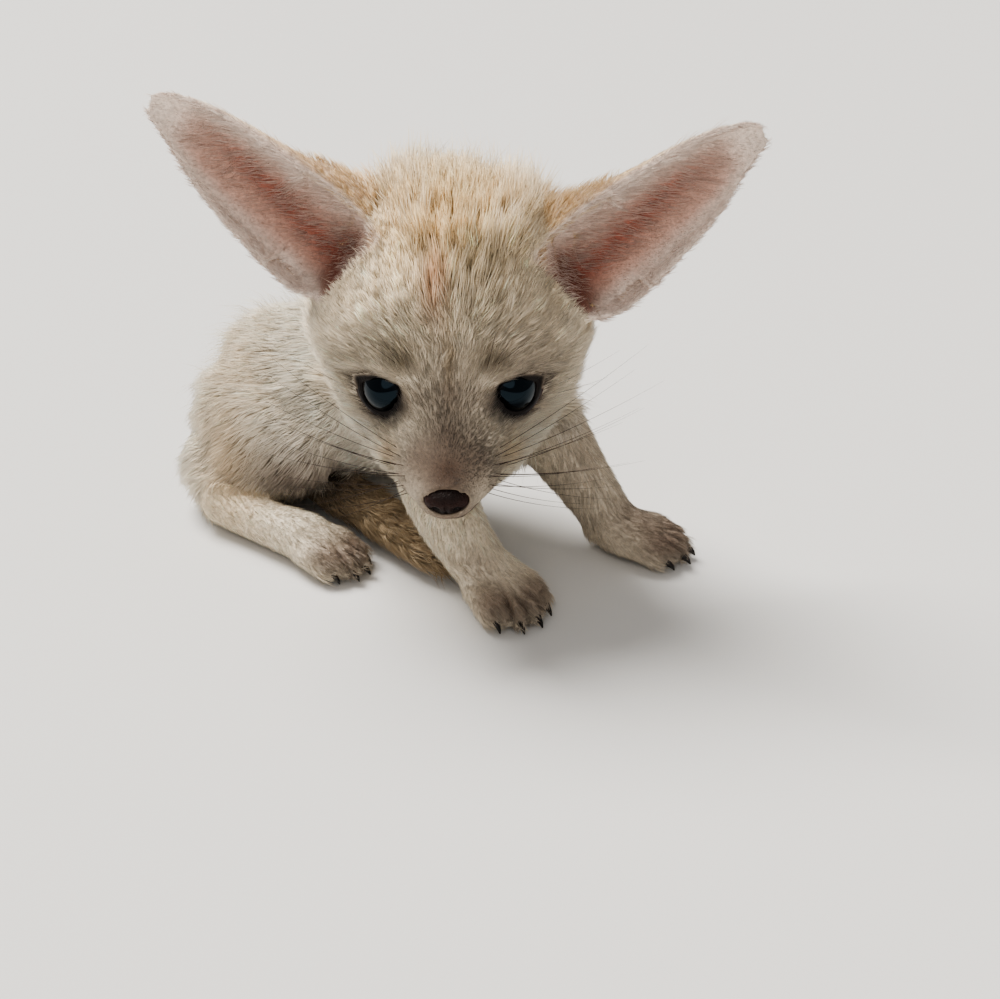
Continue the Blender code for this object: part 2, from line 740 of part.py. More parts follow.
COAT = (0.72, 0.62, 0.50)
SAND = (0.62, 0.47, 0.32)
BUFF = (0.42, 0.33, 0.22)
TAUPE = (0.50, 0.42, 0.37)
NOSE = (0.05, 0.03, 0.028)
EYE = (0.012, 0.013, 0.018)
CLAW = (0.035, 0.03, 0.028)
FINISHES = {
    # the start of a node's name, its colour and its roughness
    "ear": (SAND, 0.85),
    "eye": (EYE, 0.08),
    "nose": (NOSE, 0.45),
    "tail": (BUFF, 0.9),
    "forepaw": (TAUPE, 0.9),
    "hind_foot": (TAUPE, 0.9),
}


def dress(nodes):
    """Gives each node its name and a material of its own."""
    for name, obj in nodes.items():
        colour, roughness = COAT, 0.9
        for start, finish in FINISHES.items():
            if name.startswith(start):
                colour, roughness = finish
        if "claw" in name:
            colour, roughness = CLAW, 0.4
        obj.name = name
        obj.data.name = name
        obj.data.materials.clear()
        obj.data.materials.append(material(name, colour, roughness))


def centre_on_floor(nodes):
    """Moves the whole model so that the middle of its box stands over the origin."""
    corners = [vertex.co for obj in nodes.values() for vertex in obj.data.vertices]
    low = [min(corner[axis] for corner in corners) for axis in range(3)]
    high = [max(corner[axis] for corner in corners) for axis in range(3)]
    shift = Vector((-(low[0] + high[0]) / 2, -(low[1] + high[1]) / 2, -low[2]))
    for obj in nodes.values():
        obj.data.transform(Matrix.Translation(shift))


def main():
    for obj in list(bpy.data.objects):
        bpy.data.objects.remove(obj)
    floor = block(WORLD, (-200, -200, -60), (200, 200, 0))
    tail = fuse("tail", [limb(WORLD, without_coat(TAIL))], TRUNK_VOXEL, BODY_SMOOTHING)
    thin_out(tail, TAIL_TRIANGLES)
    keep_largest(boolean(tail, [copy_of(floor)], "DIFFERENCE"))
    whole = clear_of(body(floor), tail)
    nodes = part_body(whole) | part_tail(tail)
    head = nodes["head"]
    for key, side in (("right", 1), ("left", -1)):
        nodes[f"eye_{key}"] = add_eye(head, f"eye_{key}", side)
        nodes[f"ear_{key}"] = clear_of(ear(key), head, nodes["neck"])
    nodes["nose"] = add_nose(head)
    keep_largest(cut_mouth(head))
    for key in ("right", "left"):
        for limb_name, place, width in (("forepaw", paw_place(key), FOREPAW_WIDTH),
                                        ("hind_foot", foot_place(key), HIND_PAW_WIDTH)):
            paw = nodes[f"{limb_name}_{key}"]
            for claw in paw_claws(f"{limb_name}_{key}", place, width):
                nodes[claw.name] = clear_of(claw, paw)
    add_locks(nodes)
    dress(nodes)
    centre_on_floor(nodes)


main()
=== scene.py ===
import math

import bmesh
import bpy
import numpy as np
from mathutils import Matrix, Vector
from mathutils.bvhtree import BVHTree
from mathutils.kdtree import KDTree


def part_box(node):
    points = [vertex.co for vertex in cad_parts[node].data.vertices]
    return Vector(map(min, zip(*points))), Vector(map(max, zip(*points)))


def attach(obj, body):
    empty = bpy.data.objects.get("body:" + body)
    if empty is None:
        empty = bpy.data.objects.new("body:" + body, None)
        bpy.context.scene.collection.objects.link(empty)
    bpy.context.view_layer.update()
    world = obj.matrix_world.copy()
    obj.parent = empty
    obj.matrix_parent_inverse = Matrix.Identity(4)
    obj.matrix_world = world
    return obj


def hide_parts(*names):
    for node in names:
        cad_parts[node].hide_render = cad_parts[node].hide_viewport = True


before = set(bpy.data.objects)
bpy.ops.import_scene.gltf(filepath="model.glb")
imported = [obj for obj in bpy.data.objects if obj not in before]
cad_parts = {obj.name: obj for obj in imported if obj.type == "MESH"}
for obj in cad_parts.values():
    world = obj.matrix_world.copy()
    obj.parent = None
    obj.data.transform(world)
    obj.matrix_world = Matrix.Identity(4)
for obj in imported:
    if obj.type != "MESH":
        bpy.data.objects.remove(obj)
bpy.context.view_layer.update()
mm = 0.001
mergeGap = 0.00001  # metres
print("frame loaded")


# Places

headLook = {
    "pitch": 22.0,  # degrees that the nose is lowered
    "cadEye": (12.3, -3.1, 1.0),  # the solids' right eye, in the head's own mm
    "eye": (13.3, -3.3, -0.2),  # the right eyeball's middle
    "gaze": (0.41, 0.89, 0.2),  # the way the right eye looks
}


def middleOf(node):
    low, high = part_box(node)
    return (low + high) / 2


betweenEyes = (middleOf("eye_right") + middleOf("eye_left")) / 2


def placeOfHead():
    # +X the animal's right, +Y out of the nose, +Z up
    turn = (Matrix.Rotation(math.radians(180), 4, "Z")
            @ Matrix.Rotation(math.radians(-headLook["pitch"]), 4, "X"))
    back = Vector((0, *headLook["cadEye"][1:])) * mm
    return Matrix.Translation(betweenEyes) @ turn @ Matrix.Translation(-back)


headPlace = placeOfHead()
headTurn = np.array(headPlace.to_3x3())
headOrigin = np.array(headPlace.translation)


def inHead(points):
    # world metres to the head's own millimetres
    return (np.asarray(points) - headOrigin) @ headTurn / mm


def fromHead(points):
    return np.asarray(points, float) * mm @ headTurn.T + headOrigin


def mirrored(rows, side):
    # side is 1 on the animal's right and -1 on its left
    return np.array(rows, float) * (side, 1, 1)


def eyePlace(side):
    # +Y the way the eye looks, +Z up
    gaze = Vector(mirrored(headLook["gaze"], side)).normalized()
    turn = gaze.to_track_quat("Y", "Z").to_matrix().to_4x4()
    return headPlace @ Matrix.Translation(Vector(mirrored(headLook["eye"], side)) * mm) @ turn


def inEye(points, side):
    # world metres to the eyeball's own millimetres, outer corner on +X for both
    near = np.array(eyePlace(side).inverted())
    return (np.asarray(points) @ near[:3, :3].T + near[:3, 3]) / mm * (side, 1, 1)


def smoothStep(values, low, high):
    share = np.clip((np.asarray(values, float) - low) / (high - low), 0, 1)
    return share * share * (3 - 2 * share)


def lengths(rows):
    return np.linalg.norm(rows, axis=1)


def unit(vectors):
    length = np.linalg.norm(vectors, axis=-1, keepdims=True)
    return vectors / np.maximum(length, 1e-12)


def along(points, steps, closed=False):
    # a smooth curve through a few points
    rows = np.array(points, float)
    if closed:
        rows = np.vstack([rows[-1], rows, rows[:2]])
    else:
        rows = np.vstack([2 * rows[0] - rows[1], rows, 2 * rows[-1] - rows[-2]])
    made = []
    for a, b, c, d in zip(rows, rows[1:], rows[2:], rows[3:]):
        for t in np.arange(steps) / steps:
            bend = 0.5 * t * (c - a) + t**2 * (a - 2.5 * b + 2 * c - 0.5 * d)
            made.append(b + bend + t**3 * (1.5 * (b - c) + 0.5 * (d - a)))
    if not closed:
        made.append(rows[-2])
    return np.array(made)


lidMargin = along([
    # the lid's edge on the eyeball, outer corner first, then over the top
    (6.5, 2.2), (5.0, 3.3), (3.0, 4.2), (0.5, 4.9), (-1.5, 5.1), (-3.2, 4.9), (-4.5, 4.0),
    (-5.5, 2.4), (-6.1, 0.1), (-6.2, -2.5), (-4.4, -3.9), (-2.0, -4.6), (0.0, -4.4), (1.8, -3.5),
    (3.3, -2.4), (4.6, -1.1), (5.7, 0.5)], 6, closed=True)


def rimShare(local):
    # 1 on the lid's edge, less inside the opening, more outside
    middle = lidMargin.mean(0)
    edge = lidMargin - middle
    angles = np.arctan2(edge[:, 1], edge[:, 0])
    order = np.argsort(angles)
    away = local[:, (0, 2)] - middle
    reach = np.interp(np.arctan2(away[:, 1], away[:, 0]), angles[order],
                      lengths(edge)[order], period=2 * math.pi)
    return np.where(local[:, 1] > 0, lengths(away) / reach, 9.0)


def addObject(name, data):
    obj = bpy.data.objects.new(name, data)
    bpy.context.scene.collection.objects.link(obj)
    return obj


def only(obj):
    bpy.ops.object.select_all(action="DESELECT")
    obj.select_set(True)
    bpy.context.view_layer.objects.active = obj


def inEdit(obj, work, **values):
    # runs one mesh operator on all of the object
    only(obj)
    bpy.ops.object.mode_set(mode="EDIT")
    bpy.ops.mesh.select_all(action="SELECT")
    work(**values)
    bpy.ops.object.mode_set(mode="OBJECT")


def applyModifier(obj, kind, **values):
    only(obj)
    modifier = obj.modifiers.new(kind.lower(), kind)
    for key, value in values.items():
        setattr(modifier, key, value)
    bpy.ops.object.modifier_apply(modifier=modifier.name)


def settle(obj):
    # leaves the object at the origin with its place in its mesh
    only(obj)
    bpy.ops.object.transform_apply(location=True, rotation=True, scale=True)


def smooth(obj):
    only(obj)
    bpy.ops.object.shade_smooth()


# Camera, floor and light

cameraLook = {
    "fromEyes": (11.4, -220.2, 79.9),  # mm from between the eyeballs of the solids
    "tilt": 63.5,
    "lens": 36.9,
    "sensor": 36.0,
    "clip": (0.01, 20),
}
studioLook = {
    "floor": 60,  # metres
    "paper": (0.74, 0.73, 0.71, 1),
    "roughness": 0.8,
    "sky": (1.0, 0.98, 0.95, 1),
    "skyStrength": 0.32,
    "contrast": "AgX - Medium High Contrast",
}
suns = [
    # name, the way to it, width in degrees, strength and colour
    ("window", (-0.6, 0.55, 1.2), 30, 5.0, (1.0, 0.97, 0.93)),
    ("front", (-0.1, -1.0, 0.8), 50, 0.6, (1.0, 0.97, 0.94)),
]


def addCamera():
    data = bpy.data.cameras.new("camera")
    data.lens = cameraLook["lens"]
    data.sensor_width = cameraLook["sensor"]
    data.clip_start, data.clip_end = cameraLook["clip"]
    camera = addObject("camera", data)
    camera.location = betweenEyes + Vector(cameraLook["fromEyes"]) * mm
    camera.rotation_euler = (math.radians(cameraLook["tilt"]), 0, 0)
    bpy.context.scene.camera = camera


def addStudio():
    bpy.ops.mesh.primitive_plane_add(size=studioLook["floor"], location=(0, 0, 0))
    floor = bpy.context.object
    floor.name = "floor"
    paper = bpy.data.materials.new("floor paper")
    paper.use_nodes = True
    shader = paper.node_tree.nodes["Principled BSDF"]
    shader.inputs["Base Color"].default_value = studioLook["paper"]
    shader.inputs["Roughness"].default_value = studioLook["roughness"]
    floor.data.materials.append(paper)
    world = bpy.context.scene.world or bpy.data.worlds.new("studio")
    bpy.context.scene.world = world
    world.use_nodes = True
    sky = world.node_tree.nodes["Background"]
    sky.inputs["Color"].default_value = studioLook["sky"]
    sky.inputs["Strength"].default_value = studioLook["skyStrength"]
    bpy.context.scene.view_settings.look = studioLook["contrast"]
    for name, toward, width, strength, colour in suns:
        data = bpy.data.lights.new(name, "SUN")
        data.angle = math.radians(width)
        data.energy = strength
        data.color = colour
        light = addObject(name, data)
        light.rotation_euler = Vector(toward).to_track_quat("Z", "Y").to_euler()


# Colours, as the coat has them in plain light; taupe and umber are also laid on as painted shade

def tone(red, green, blue):
    return np.array([(value / 255) ** 2.2 for value in (red, green, blue)])


tones = {
    "cream": tone(242, 229, 207),
    "pale": tone(252, 243, 227),
    "straw": tone(240, 214, 168),
    "ivory": tone(248, 240, 226),
    "gold": tone(224, 186, 126),
    "tan": tone(216, 182, 134),
    "rust": tone(190, 128, 82),
    "olive": tone(150, 132, 98),
    "khaki": tone(170, 144, 102),
    "taupe": tone(128, 108, 94),
    "muzzle": tone(100, 80, 67),
    "umber": tone(70, 50, 38),
    "blush": tone(240, 220, 208),
    "pink": tone(202, 156, 138),
    "red": tone(152, 84, 68),
    "maroon": tone(96, 54, 42),
    "buff": tone(198, 175, 142),
    "black": tone(30, 24, 22),
}


# Ears: where a point lies along and across the shell of an ear

ears = {
    # base, tip and the way the cup opens, mm
    1: ((-16.5, -29.8, 83.0), (-62.3, -14.8, 111.2), (-0.34, -1, 0.0)),
    -1: ((29.6, -29.8, 78.6), (76.1, -14.8, 104.8), (0.34, -1, 0.0)),
}
earShape = [
    # share of the length, middle and half width in mm
    (-0.24, 0.0, 8.0), (0.0, 2.2, 11.2), (0.18, 3.2, 13.5), (0.32, 2.6, 12.9), (0.46, 1.5, 11.8),
    (0.60, 0.5, 10.7), (0.72, -0.7, 9.0), (0.82, -1.7, 7.0), (0.90, -2.2, 5.1), (1.0, -1.7, 1.9),
]


def earAxes(side):
    base, tip, facing = (np.array(values, float) for values in ears[side])
    out = tip - base
    length = np.linalg.norm(out)
    out = out / length
    across = np.cross(out, facing / np.linalg.norm(facing))
    across = across / np.linalg.norm(across)
    if across[2] > 0:
        across = -across
    front = np.cross(out, across)
    if front[1] > 0:
        front = -front
    return base, length, out, across, front


def inEar(points, side):
    # share along the ear, share across it (-1 upper rim, 1 lower rim), mm in front of its base
    base, length, out, across, front = earAxes(side)
    away = np.asarray(points) / mm - base
    share = away @ out / length
    shape = np.array(earShape)
    middle = np.interp(share, shape[:, 0], shape[:, 1])
    half = np.interp(share, shape[:, 0], shape[:, 2])
    return share, (away @ across - middle) / half, away @ front, front


# Skin: one closed surface in place of every node of flesh

skinLook = {
    # mm, apart from the last four
    "voxel": 0.75,
    "swell": 0.26,  # so that the nodes meet
    "eyePlug": 6.5,
    "fine": 10.0,  # the muzzle in front of this is divided once more
    "fineEye": 11.5,  # and so is what lies this near to an eye
    "unwrap": 66,  # degrees
    "margin": 0.002,
    "bare": 1.07,  # share of an eye's opening inside which no hair grows
    # the skin is painted darker than its coat as painted shade in the gaps between the tufts
    "shade": 0.92,  # of the coat's colours
}
fleshNodes = [name for name in sorted(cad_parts)
              if "claw" not in name and "eye" not in name and name != "nose"]
footNodes = [name for name in fleshNodes if "paw" in name or "foot" in name]


def copyOf(node, name):
    obj = addObject(name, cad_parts[node].data.copy())
    inEdit(obj, bpy.ops.mesh.remove_doubles, threshold=mergeGap)
    return obj


def joinFlesh():
    copies = []
    for node in fleshNodes:
        copies.append(copyOf(node, "flesh"))
        applyModifier(copies[-1], "DISPLACE", strength=skinLook["swell"] * mm, mid_level=0)
    for side in (1, -1):
        bpy.ops.mesh.primitive_uv_sphere_add(segments=40, ring_count=24,
                                             radius=skinLook["eyePlug"] * mm,
                                             location=eyePlace(side).translation)
        copies.append(bpy.context.object)
        settle(copies[-1])
    bpy.ops.object.select_all(action="DESELECT")
    for obj in copies:
        obj.select_set(True)
    bpy.context.view_layer.objects.active = copies[0]
    bpy.ops.object.join()
    skin = bpy.context.object
    skin.name = "skin"
    skin.data.materials.clear()
    applyModifier(skin, "REMESH", mode="VOXEL", voxel_size=skinLook["voxel"] * mm)
    return skin


def keepLargest(obj):
    mesh = bmesh.new()
    mesh.from_mesh(obj.data)
    unseen = set(mesh.verts)
    groups = []
    while unseen:
        edge = [unseen.pop()]
        group = list(edge)
        while edge:
            for link in edge.pop().link_edges:
                for vertex in link.verts:
                    if vertex in unseen:
                        unseen.discard(vertex)
                        group.append(vertex)
                        edge.append(vertex)
        groups.append(group)
    groups.sort(key=len)
    for group in groups[:-1]:
        bmesh.ops.delete(mesh, geom=group, context="VERTS")
    mesh.to_mesh(obj.data)
    mesh.free()


def divideFace(obj):
    # a finer mesh on the muzzle and round the eyes
    mesh = bmesh.new()
    mesh.from_mesh(obj.data)
    points = np.array([vertex.co for vertex in mesh.verts])
    head = inHead(points)
    near = head[:, 1] > skinLook["fine"]
    for side in (1, -1):
        gap = lengths(head - mirrored(headLook["eye"], side))
        near |= gap < skinLook["fineEye"]
    mesh.verts.ensure_lookup_table()
    chosen = {mesh.verts[i] for i in np.nonzero(near)[0]}
    edges = [edge for edge in mesh.edges if chosen.issuperset(edge.verts)]
    bmesh.ops.subdivide_edges(mesh, edges=edges, cuts=1, use_grid_fill=True)
    bmesh.ops.triangulate(mesh, faces=[face for face in mesh.faces if len(face.verts) > 4])
    mesh.to_mesh(obj.data)
    mesh.free()


def verticesOf(mesh, what="co"):
    values = np.zeros(len(mesh.vertices) * 3, np.float32)
    mesh.vertices.foreach_get(what, values)
    return values.reshape(-1, 3).astype(float)


def setPoints(mesh, points):
    mesh.vertices.foreach_set("co", points.astype(np.float32).ravel())
    mesh.update()


def edgesOf(mesh):
    values = np.zeros(len(mesh.edges) * 2, np.int32)
    mesh.edges.foreach_get("vertices", values)
    return values.reshape(-1, 2)


def blur(values, edges, rounds, share=0.5):
    # evens a value, or rows of them, out over the surface
    values = np.array(values, float)
    count = len(values)
    links = np.bincount(edges.ravel(), minlength=count)[:, None]
    flat = values.ndim == 1
    if flat:
        values = values[:, None]
    share = np.broadcast_to(np.asarray(share, float), (count,))[:, None]
    for _ in range(rounds):
        total = np.zeros_like(values)
        for column in range(values.shape[1]):
            total[:, column] = (
                np.bincount(edges[:, 0], values[edges[:, 1], column], count)
                + np.bincount(edges[:, 1], values[edges[:, 0], column], count))
        values = values + share * (total / np.maximum(links, 1) - values)
    return values[:, 0] if flat else values


def nearestNodes(points):
    # for each point the node of flesh that it lies on
    vertices = []
    triangles = []
    owners = []
    for index, node in enumerate(fleshNodes):
        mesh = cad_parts[node].data
        start = len(vertices)
        vertices += [vertex.co.copy() for vertex in mesh.vertices]
        for face in mesh.polygons:
            triangles.append([start + corner for corner in face.vertices])
            owners.append(index)
    tree = BVHTree.FromPolygons(vertices, triangles)
    return np.array([owners[tree.find_nearest(point)[2]] for point in points])


# Coat: how long, how wide and how raised the tufts are, and how deep the skin lies under them

coat = {
    # node without its side: coat depth, tuft length and width in mm, lift in degrees, smoothing
    "head": (1.7, 6.0, 0.30, 34, 1.0),
    "neck": (2.2, 8.0, 0.26, 22, 1.0),
    "torso": (2.2, 8.5, 0.28, 20, 1.0),
    "thigh": (2.0, 7.5, 0.27, 18, 1.0),
    "foreleg": (0.8, 3.2, 0.20, 17, 0.5),
    "forepaw": (0.55, 2.6, 0.19, 17, 0.12),
    "hind_foot": (0.6, 2.8, 0.19, 17, 0.2),
    "tail_base": (1.8, 7.0, 0.25, 18, 1.0),
    "tail_middle": (1.8, 7.5, 0.25, 18, 1.0),
    "tail_tip": (1.8, 8.5, 0.25, 18, 1.0),
    "ear": (0.12, 1.7, 0.18, 18, 0.1),
}
# the face from the muzzle back, in the head's own mm along its nose
faceCoat = {
    "from": (27, 18, 9, 0, -10, -18),
    "depth": (0.12, 0.2, 0.35, 0.6, 1.2, 1.7),
    "length": (1.1, 1.7, 2.4, 3.9, 5.6, 7.2),
    "width": (0.13, 0.15, 0.17, 0.20, 0.22, 0.25),
    "lift": (10, 13, 16, 20, 28, 34),
    "smoothing": (0.05, 0.08, 0.12, 0.3, 0.9, 1.0),
}
lies = {
    # node: the way the hair points, in the model's frame
    "neck": (-0.3, 0.15, -0.95),
    "torso": (-0.8, 0.45, -0.42),
    "thigh_right": (-0.62, 0.3, -0.72),
    "thigh_left": (0.1, 0.75, -0.6),
    "foreleg_right": (0.1, -0.2, -1.0),
    "foreleg_left": (0.25, -0.1, -1.0),
}


def clawsOf(node):
    return [middleOf(name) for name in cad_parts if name.startswith(node + "_claw")]


def lieOf(node):
    if node in lies:
        return Vector(lies[node])
    if node in footNodes:
        claws = clawsOf(node)
        return sum(claws, Vector()) / len(claws) - middleOf(node)
    order = ["tail_base", "tail_middle", "tail_tip"]
    if node == "tail_tip":
        return Vector((20.0, -17.0, -3.0))
    return middleOf(order[order.index(node) + 1]) - middleOf(node)


def headFields(points):
    head = inHead(points)
    forward = -head[:, 1]
    stations = -np.array(faceCoat["from"], float)
    fields = [np.interp(forward, stations, faceCoat[key])
              for key in ("depth", "length", "width", "lift", "smoothing")]
    cheek = smoothStep(-head[:, 2], 0, 12) * smoothStep(-head[:, 1], -2, 12)
    jowl = smoothStep(-head[:, 2], 2, 8) * smoothStep(np.abs(head[:, 0]), 7, 11) * (1 - cheek)
    fields[1] = fields[1] * (1 + 0.25 * cheek + 0.6 * jowl)
    fields[3] = fields[3] + 12 * jowl
    for side in (1, -1):
        share, across, height = inEar(points, side)[:3]
        rim = smoothStep(share, -0.4, -0.1) * (np.abs(across) < 1.4) * smoothStep(height, -8, -2)
        fields[1] = fields[1] * (1 - 0.62 * rim)
        fields[3] = fields[3] * (1 - 0.45 * rim)
        fields[4] = fields[4] * (1 - 0.5 * rim)
    fields[3] = fields[3] * (1 - 0.3 * cheek)
    away = head - np.array((0, 27.0, -4.0))
    away[:, 0] *= 1.25
    away[:, 2] -= 9 * cheek
    return fields, unit(away) @ headTurn.T


def dressSkin(points, normals, nodes):
    # per vertex: depth, length, width, lift, smoothing, lie
    rows = np.array([coat[name.removesuffix("_right").removesuffix("_left")]
                     for name in fleshNodes])
    fields = rows[nodes].T.copy()
    lie = np.zeros_like(points)
    for index, node in enumerate(fleshNodes):
        here = nodes == index
        if node == "head":
            fields[:, here], lie[here] = headFields(points[here])
        elif node.startswith("ear"):
            side = 1 if node == "ear_right" else -1
            share, _, _, front = inEar(points[here], side)
            out, lateral = earAxes(side)[2:4]
            inside = normals[here] @ front > 0.1
            lie[here] = out * 0.85 + np.where(inside, 0.55, 0.2)[:, None] * lateral
            within = np.interp(share, (0, 0.2), (0.9, 1.5))
            without = np.interp(share, (0, 0.4, 1), (2.6, 1.9, 1.3))
            fields[1][here] = np.where(inside, within, without)
        else:
            lie[here] = lieOf(node)
    return fields, lie


lidShape = {
    # mm from the eyeball's middle, and shares of the opening that rimShare gives
    "over": 7.5,
    "behind": 1.3,
    "edge": (0.86, 1.06),
    "fade": (1.12, 1.75),
    "reach": 14,
}


def openEyes(points):
    # takes the skin behind the eyeball inside the lids and rounds it over the ball beside them
    for side in (1, -1):
        local = inEye(points, side)
        share = rimShare(local)
        reach = lengths(local)
        lid = lidShape["over"] - lidShape["behind"] * (1 - smoothStep(share, *lidShape["edge"]))
        wanted = lid + (reach - lid) * smoothStep(share, *lidShape["fade"])
        near = (share < lidShape["fade"][1]) & (reach < lidShape["reach"])
        wanted = np.where(near, wanted, reach)
        centre = np.array(eyePlace(side).translation)
        points = centre + (points - centre) * (wanted / np.maximum(reach, 1e-6))[:, None]
    return points


def openEars(points):
    # runs the cup of each ear down to its inner corner on the head
    for side in (1, -1):
        share, across, height, front = inEar(points, side)
        slope = smoothStep(share, -0.14 + 0.06 * across, 0.09 + 0.06 * across)
        hollow = 0.55 + 0.45 * np.sqrt(np.clip(1 - across**2, 0, 1))
        floor = 11.0 - 18.8 * slope * hollow
        near = (share > -0.2) & (share < 0.3) & (np.abs(across) < 1.0) & (height > -12)
        fade = 1 - smoothStep(np.abs(across), 0.86, 1.0)
        drop = np.where(near, np.maximum(height - floor, 0) * fade, 0)
        points = points - front * (drop * mm)[:, None]
    return points


def toeLines(node):
    # for a foot: its claws, the grooves between them and the way the foot points, mm
    claws = np.array([np.array(place) for place in clawsOf(node)]) / mm
    heel = np.array(middleOf(node)) / mm
    way = claws.mean(0) - heel
    way[2] = 0
    way = unit(way)
    claws = claws[np.argsort(claws @ np.array((-way[1], way[0], 0)))]
    return claws, (claws[1:] + claws[:-1]) / 2, way


def toLine(points, start, way, length):
    # distance from a line on the floor, and how far along it, as a share
    away = points[:, :2] - start[:2]
    share = np.clip(away @ way[:2] / length, 0, 1)
    return lengths(away - share[:, None] * way[:2] * length), share


toeShape = {
    # height, half width, length, share of it where it fades, start in front of the claw's line, mm
    "groove": (-1.15, 0.75, 10.5, 0.45, 2),
    "knuckle": (0.45, 1.5, 7.5, 0.5, 0),
}


def shapeToes(points, normals, names):
    push = np.zeros(len(points))
    dark = np.zeros(len(points))
    world = points / mm
    for node in footNodes:
        claws, grooves, way = toeLines(node)
        centre = claws.mean(0) - way * 14
        for key, starts in (("groove", grooves), ("knuckle", claws)):
            height, width, length, fade, ahead = toeShape[key]
            for start in starts:
                inward = unit((centre - start) * (1, 1, 0))
                gap, share = toLine(world, start + way * ahead, inward, length)
                amount = np.exp(-(gap / width) ** 2) * (1 - smoothStep(share, fade, 1))
                amount = amount * (names == node)
                push += height * amount
                # the grooves' mask, kept for the painted shade laid in them
                if key == "groove":
                    dark = np.maximum(dark, amount)
    return points + normals * (push * mm)[:, None], dark


def sculpt(points, normals):
    # folds and swellings of the face, in the head's own mm
    head = inHead(points)
    push = np.zeros(len(points))
    for side in (1, -1):
        for centre, radii, height in sculptForms:
            away = (head - mirrored(centre, side)) / np.array(radii)
            push += height * np.exp(-(away**2).sum(1))
        line = along(mirrored(mouthLine, side), 8)
        push -= 0.45 * np.exp(-(nearLine(head, line) / 0.8) ** 2)
    return points + normals * (push * mm)[:, None]


def nearLine(points, line):
    gap = np.full(len(points), 1e3)
    for spot in line:
        gap = np.minimum(gap, lengths(points - spot))
    return gap


mouthLine = [(0.0, 25.6, -10.6), (3.4, 24.4, -10.7), (6.0, 21.0, -10.9), (8.6, 16.5, -11.2),
             (11.8, 11.2, -11.6), (14.8, 6.0, -11.9)]
sculptForms = [
    # middle, radii and height, in the head's own mm, for each side
    ((8.2, 19.0, -7.6), (3.4, 5.5, 3.2), 1.6),      # whisker pad
    ((13.5, 9.5, -9.0), (4.4, 5.5, 4.0), 2.2),      # cheek behind it
    ((3.0, 22.0, -12.6), (3.0, 3.5, 1.8), 0.5),     # chin
    ((7.6, 8.2, 1.2), (1.5, 3.6, 3.0), -0.3),       # hollow in front of the eye
    ((9.5, 1.5, 8.6), (4.2, 3.0, 2.2), 0.5),        # brow
    ((16.0, 4.0, -7.0), (5.0, 4.0, 2.4), 0.6),      # cheek bone under the eye
    ((3.6, 12.0, 1.0), (1.6, 6.0, 2.4), -0.25),     # side of the bridge
]


def makeSkin():
    skin = joinFlesh()
    keepLargest(skin)
    print("skin", len(skin.data.polygons), "faces")
    divideFace(skin)
    mesh = skin.data
    points = verticesOf(mesh)
    normals = verticesOf(mesh, "normal")
    edges = edgesOf(mesh)
    nodes = nearestNodes(points)
    for side, key in ((1, "right"), (-1, "left")):
        share, across, height = inEar(points, side)[:3]
        cup = (share > -0.05 + 0.06 * across) & (share < 0.4)
        cup = cup & (np.abs(across) < 1.0) & (height > -13)
        nodes[cup & (nodes == fleshNodes.index("head"))] = fleshNodes.index("ear_" + key)
    names = np.array(fleshNodes)[nodes]
    fields, lie = dressSkin(points, normals, nodes)
    fields = blur(fields.T, edges, 14).T
    moved = points
    for strength in (1.0, 0.6):
        moved = blur(moved, edges, 22, 0.55 * np.clip(fields[4], 0, 1) * strength)
    setPoints(mesh, moved)
    normals = verticesOf(mesh, "normal")
    normals = unit(blur(normals, edges, 2))
    moved = moved - normals * (fields[0] * mm)[:, None]
    moved = openEyes(openEars(sculpt(moved, normals)))
    moved, dark = shapeToes(moved, normals, names)
    setPoints(mesh, moved)
    smooth(skin)
    print("skin laid under the coat", len(mesh.vertices), "vertices")
    return skin, names, fields, lie, edges, dark
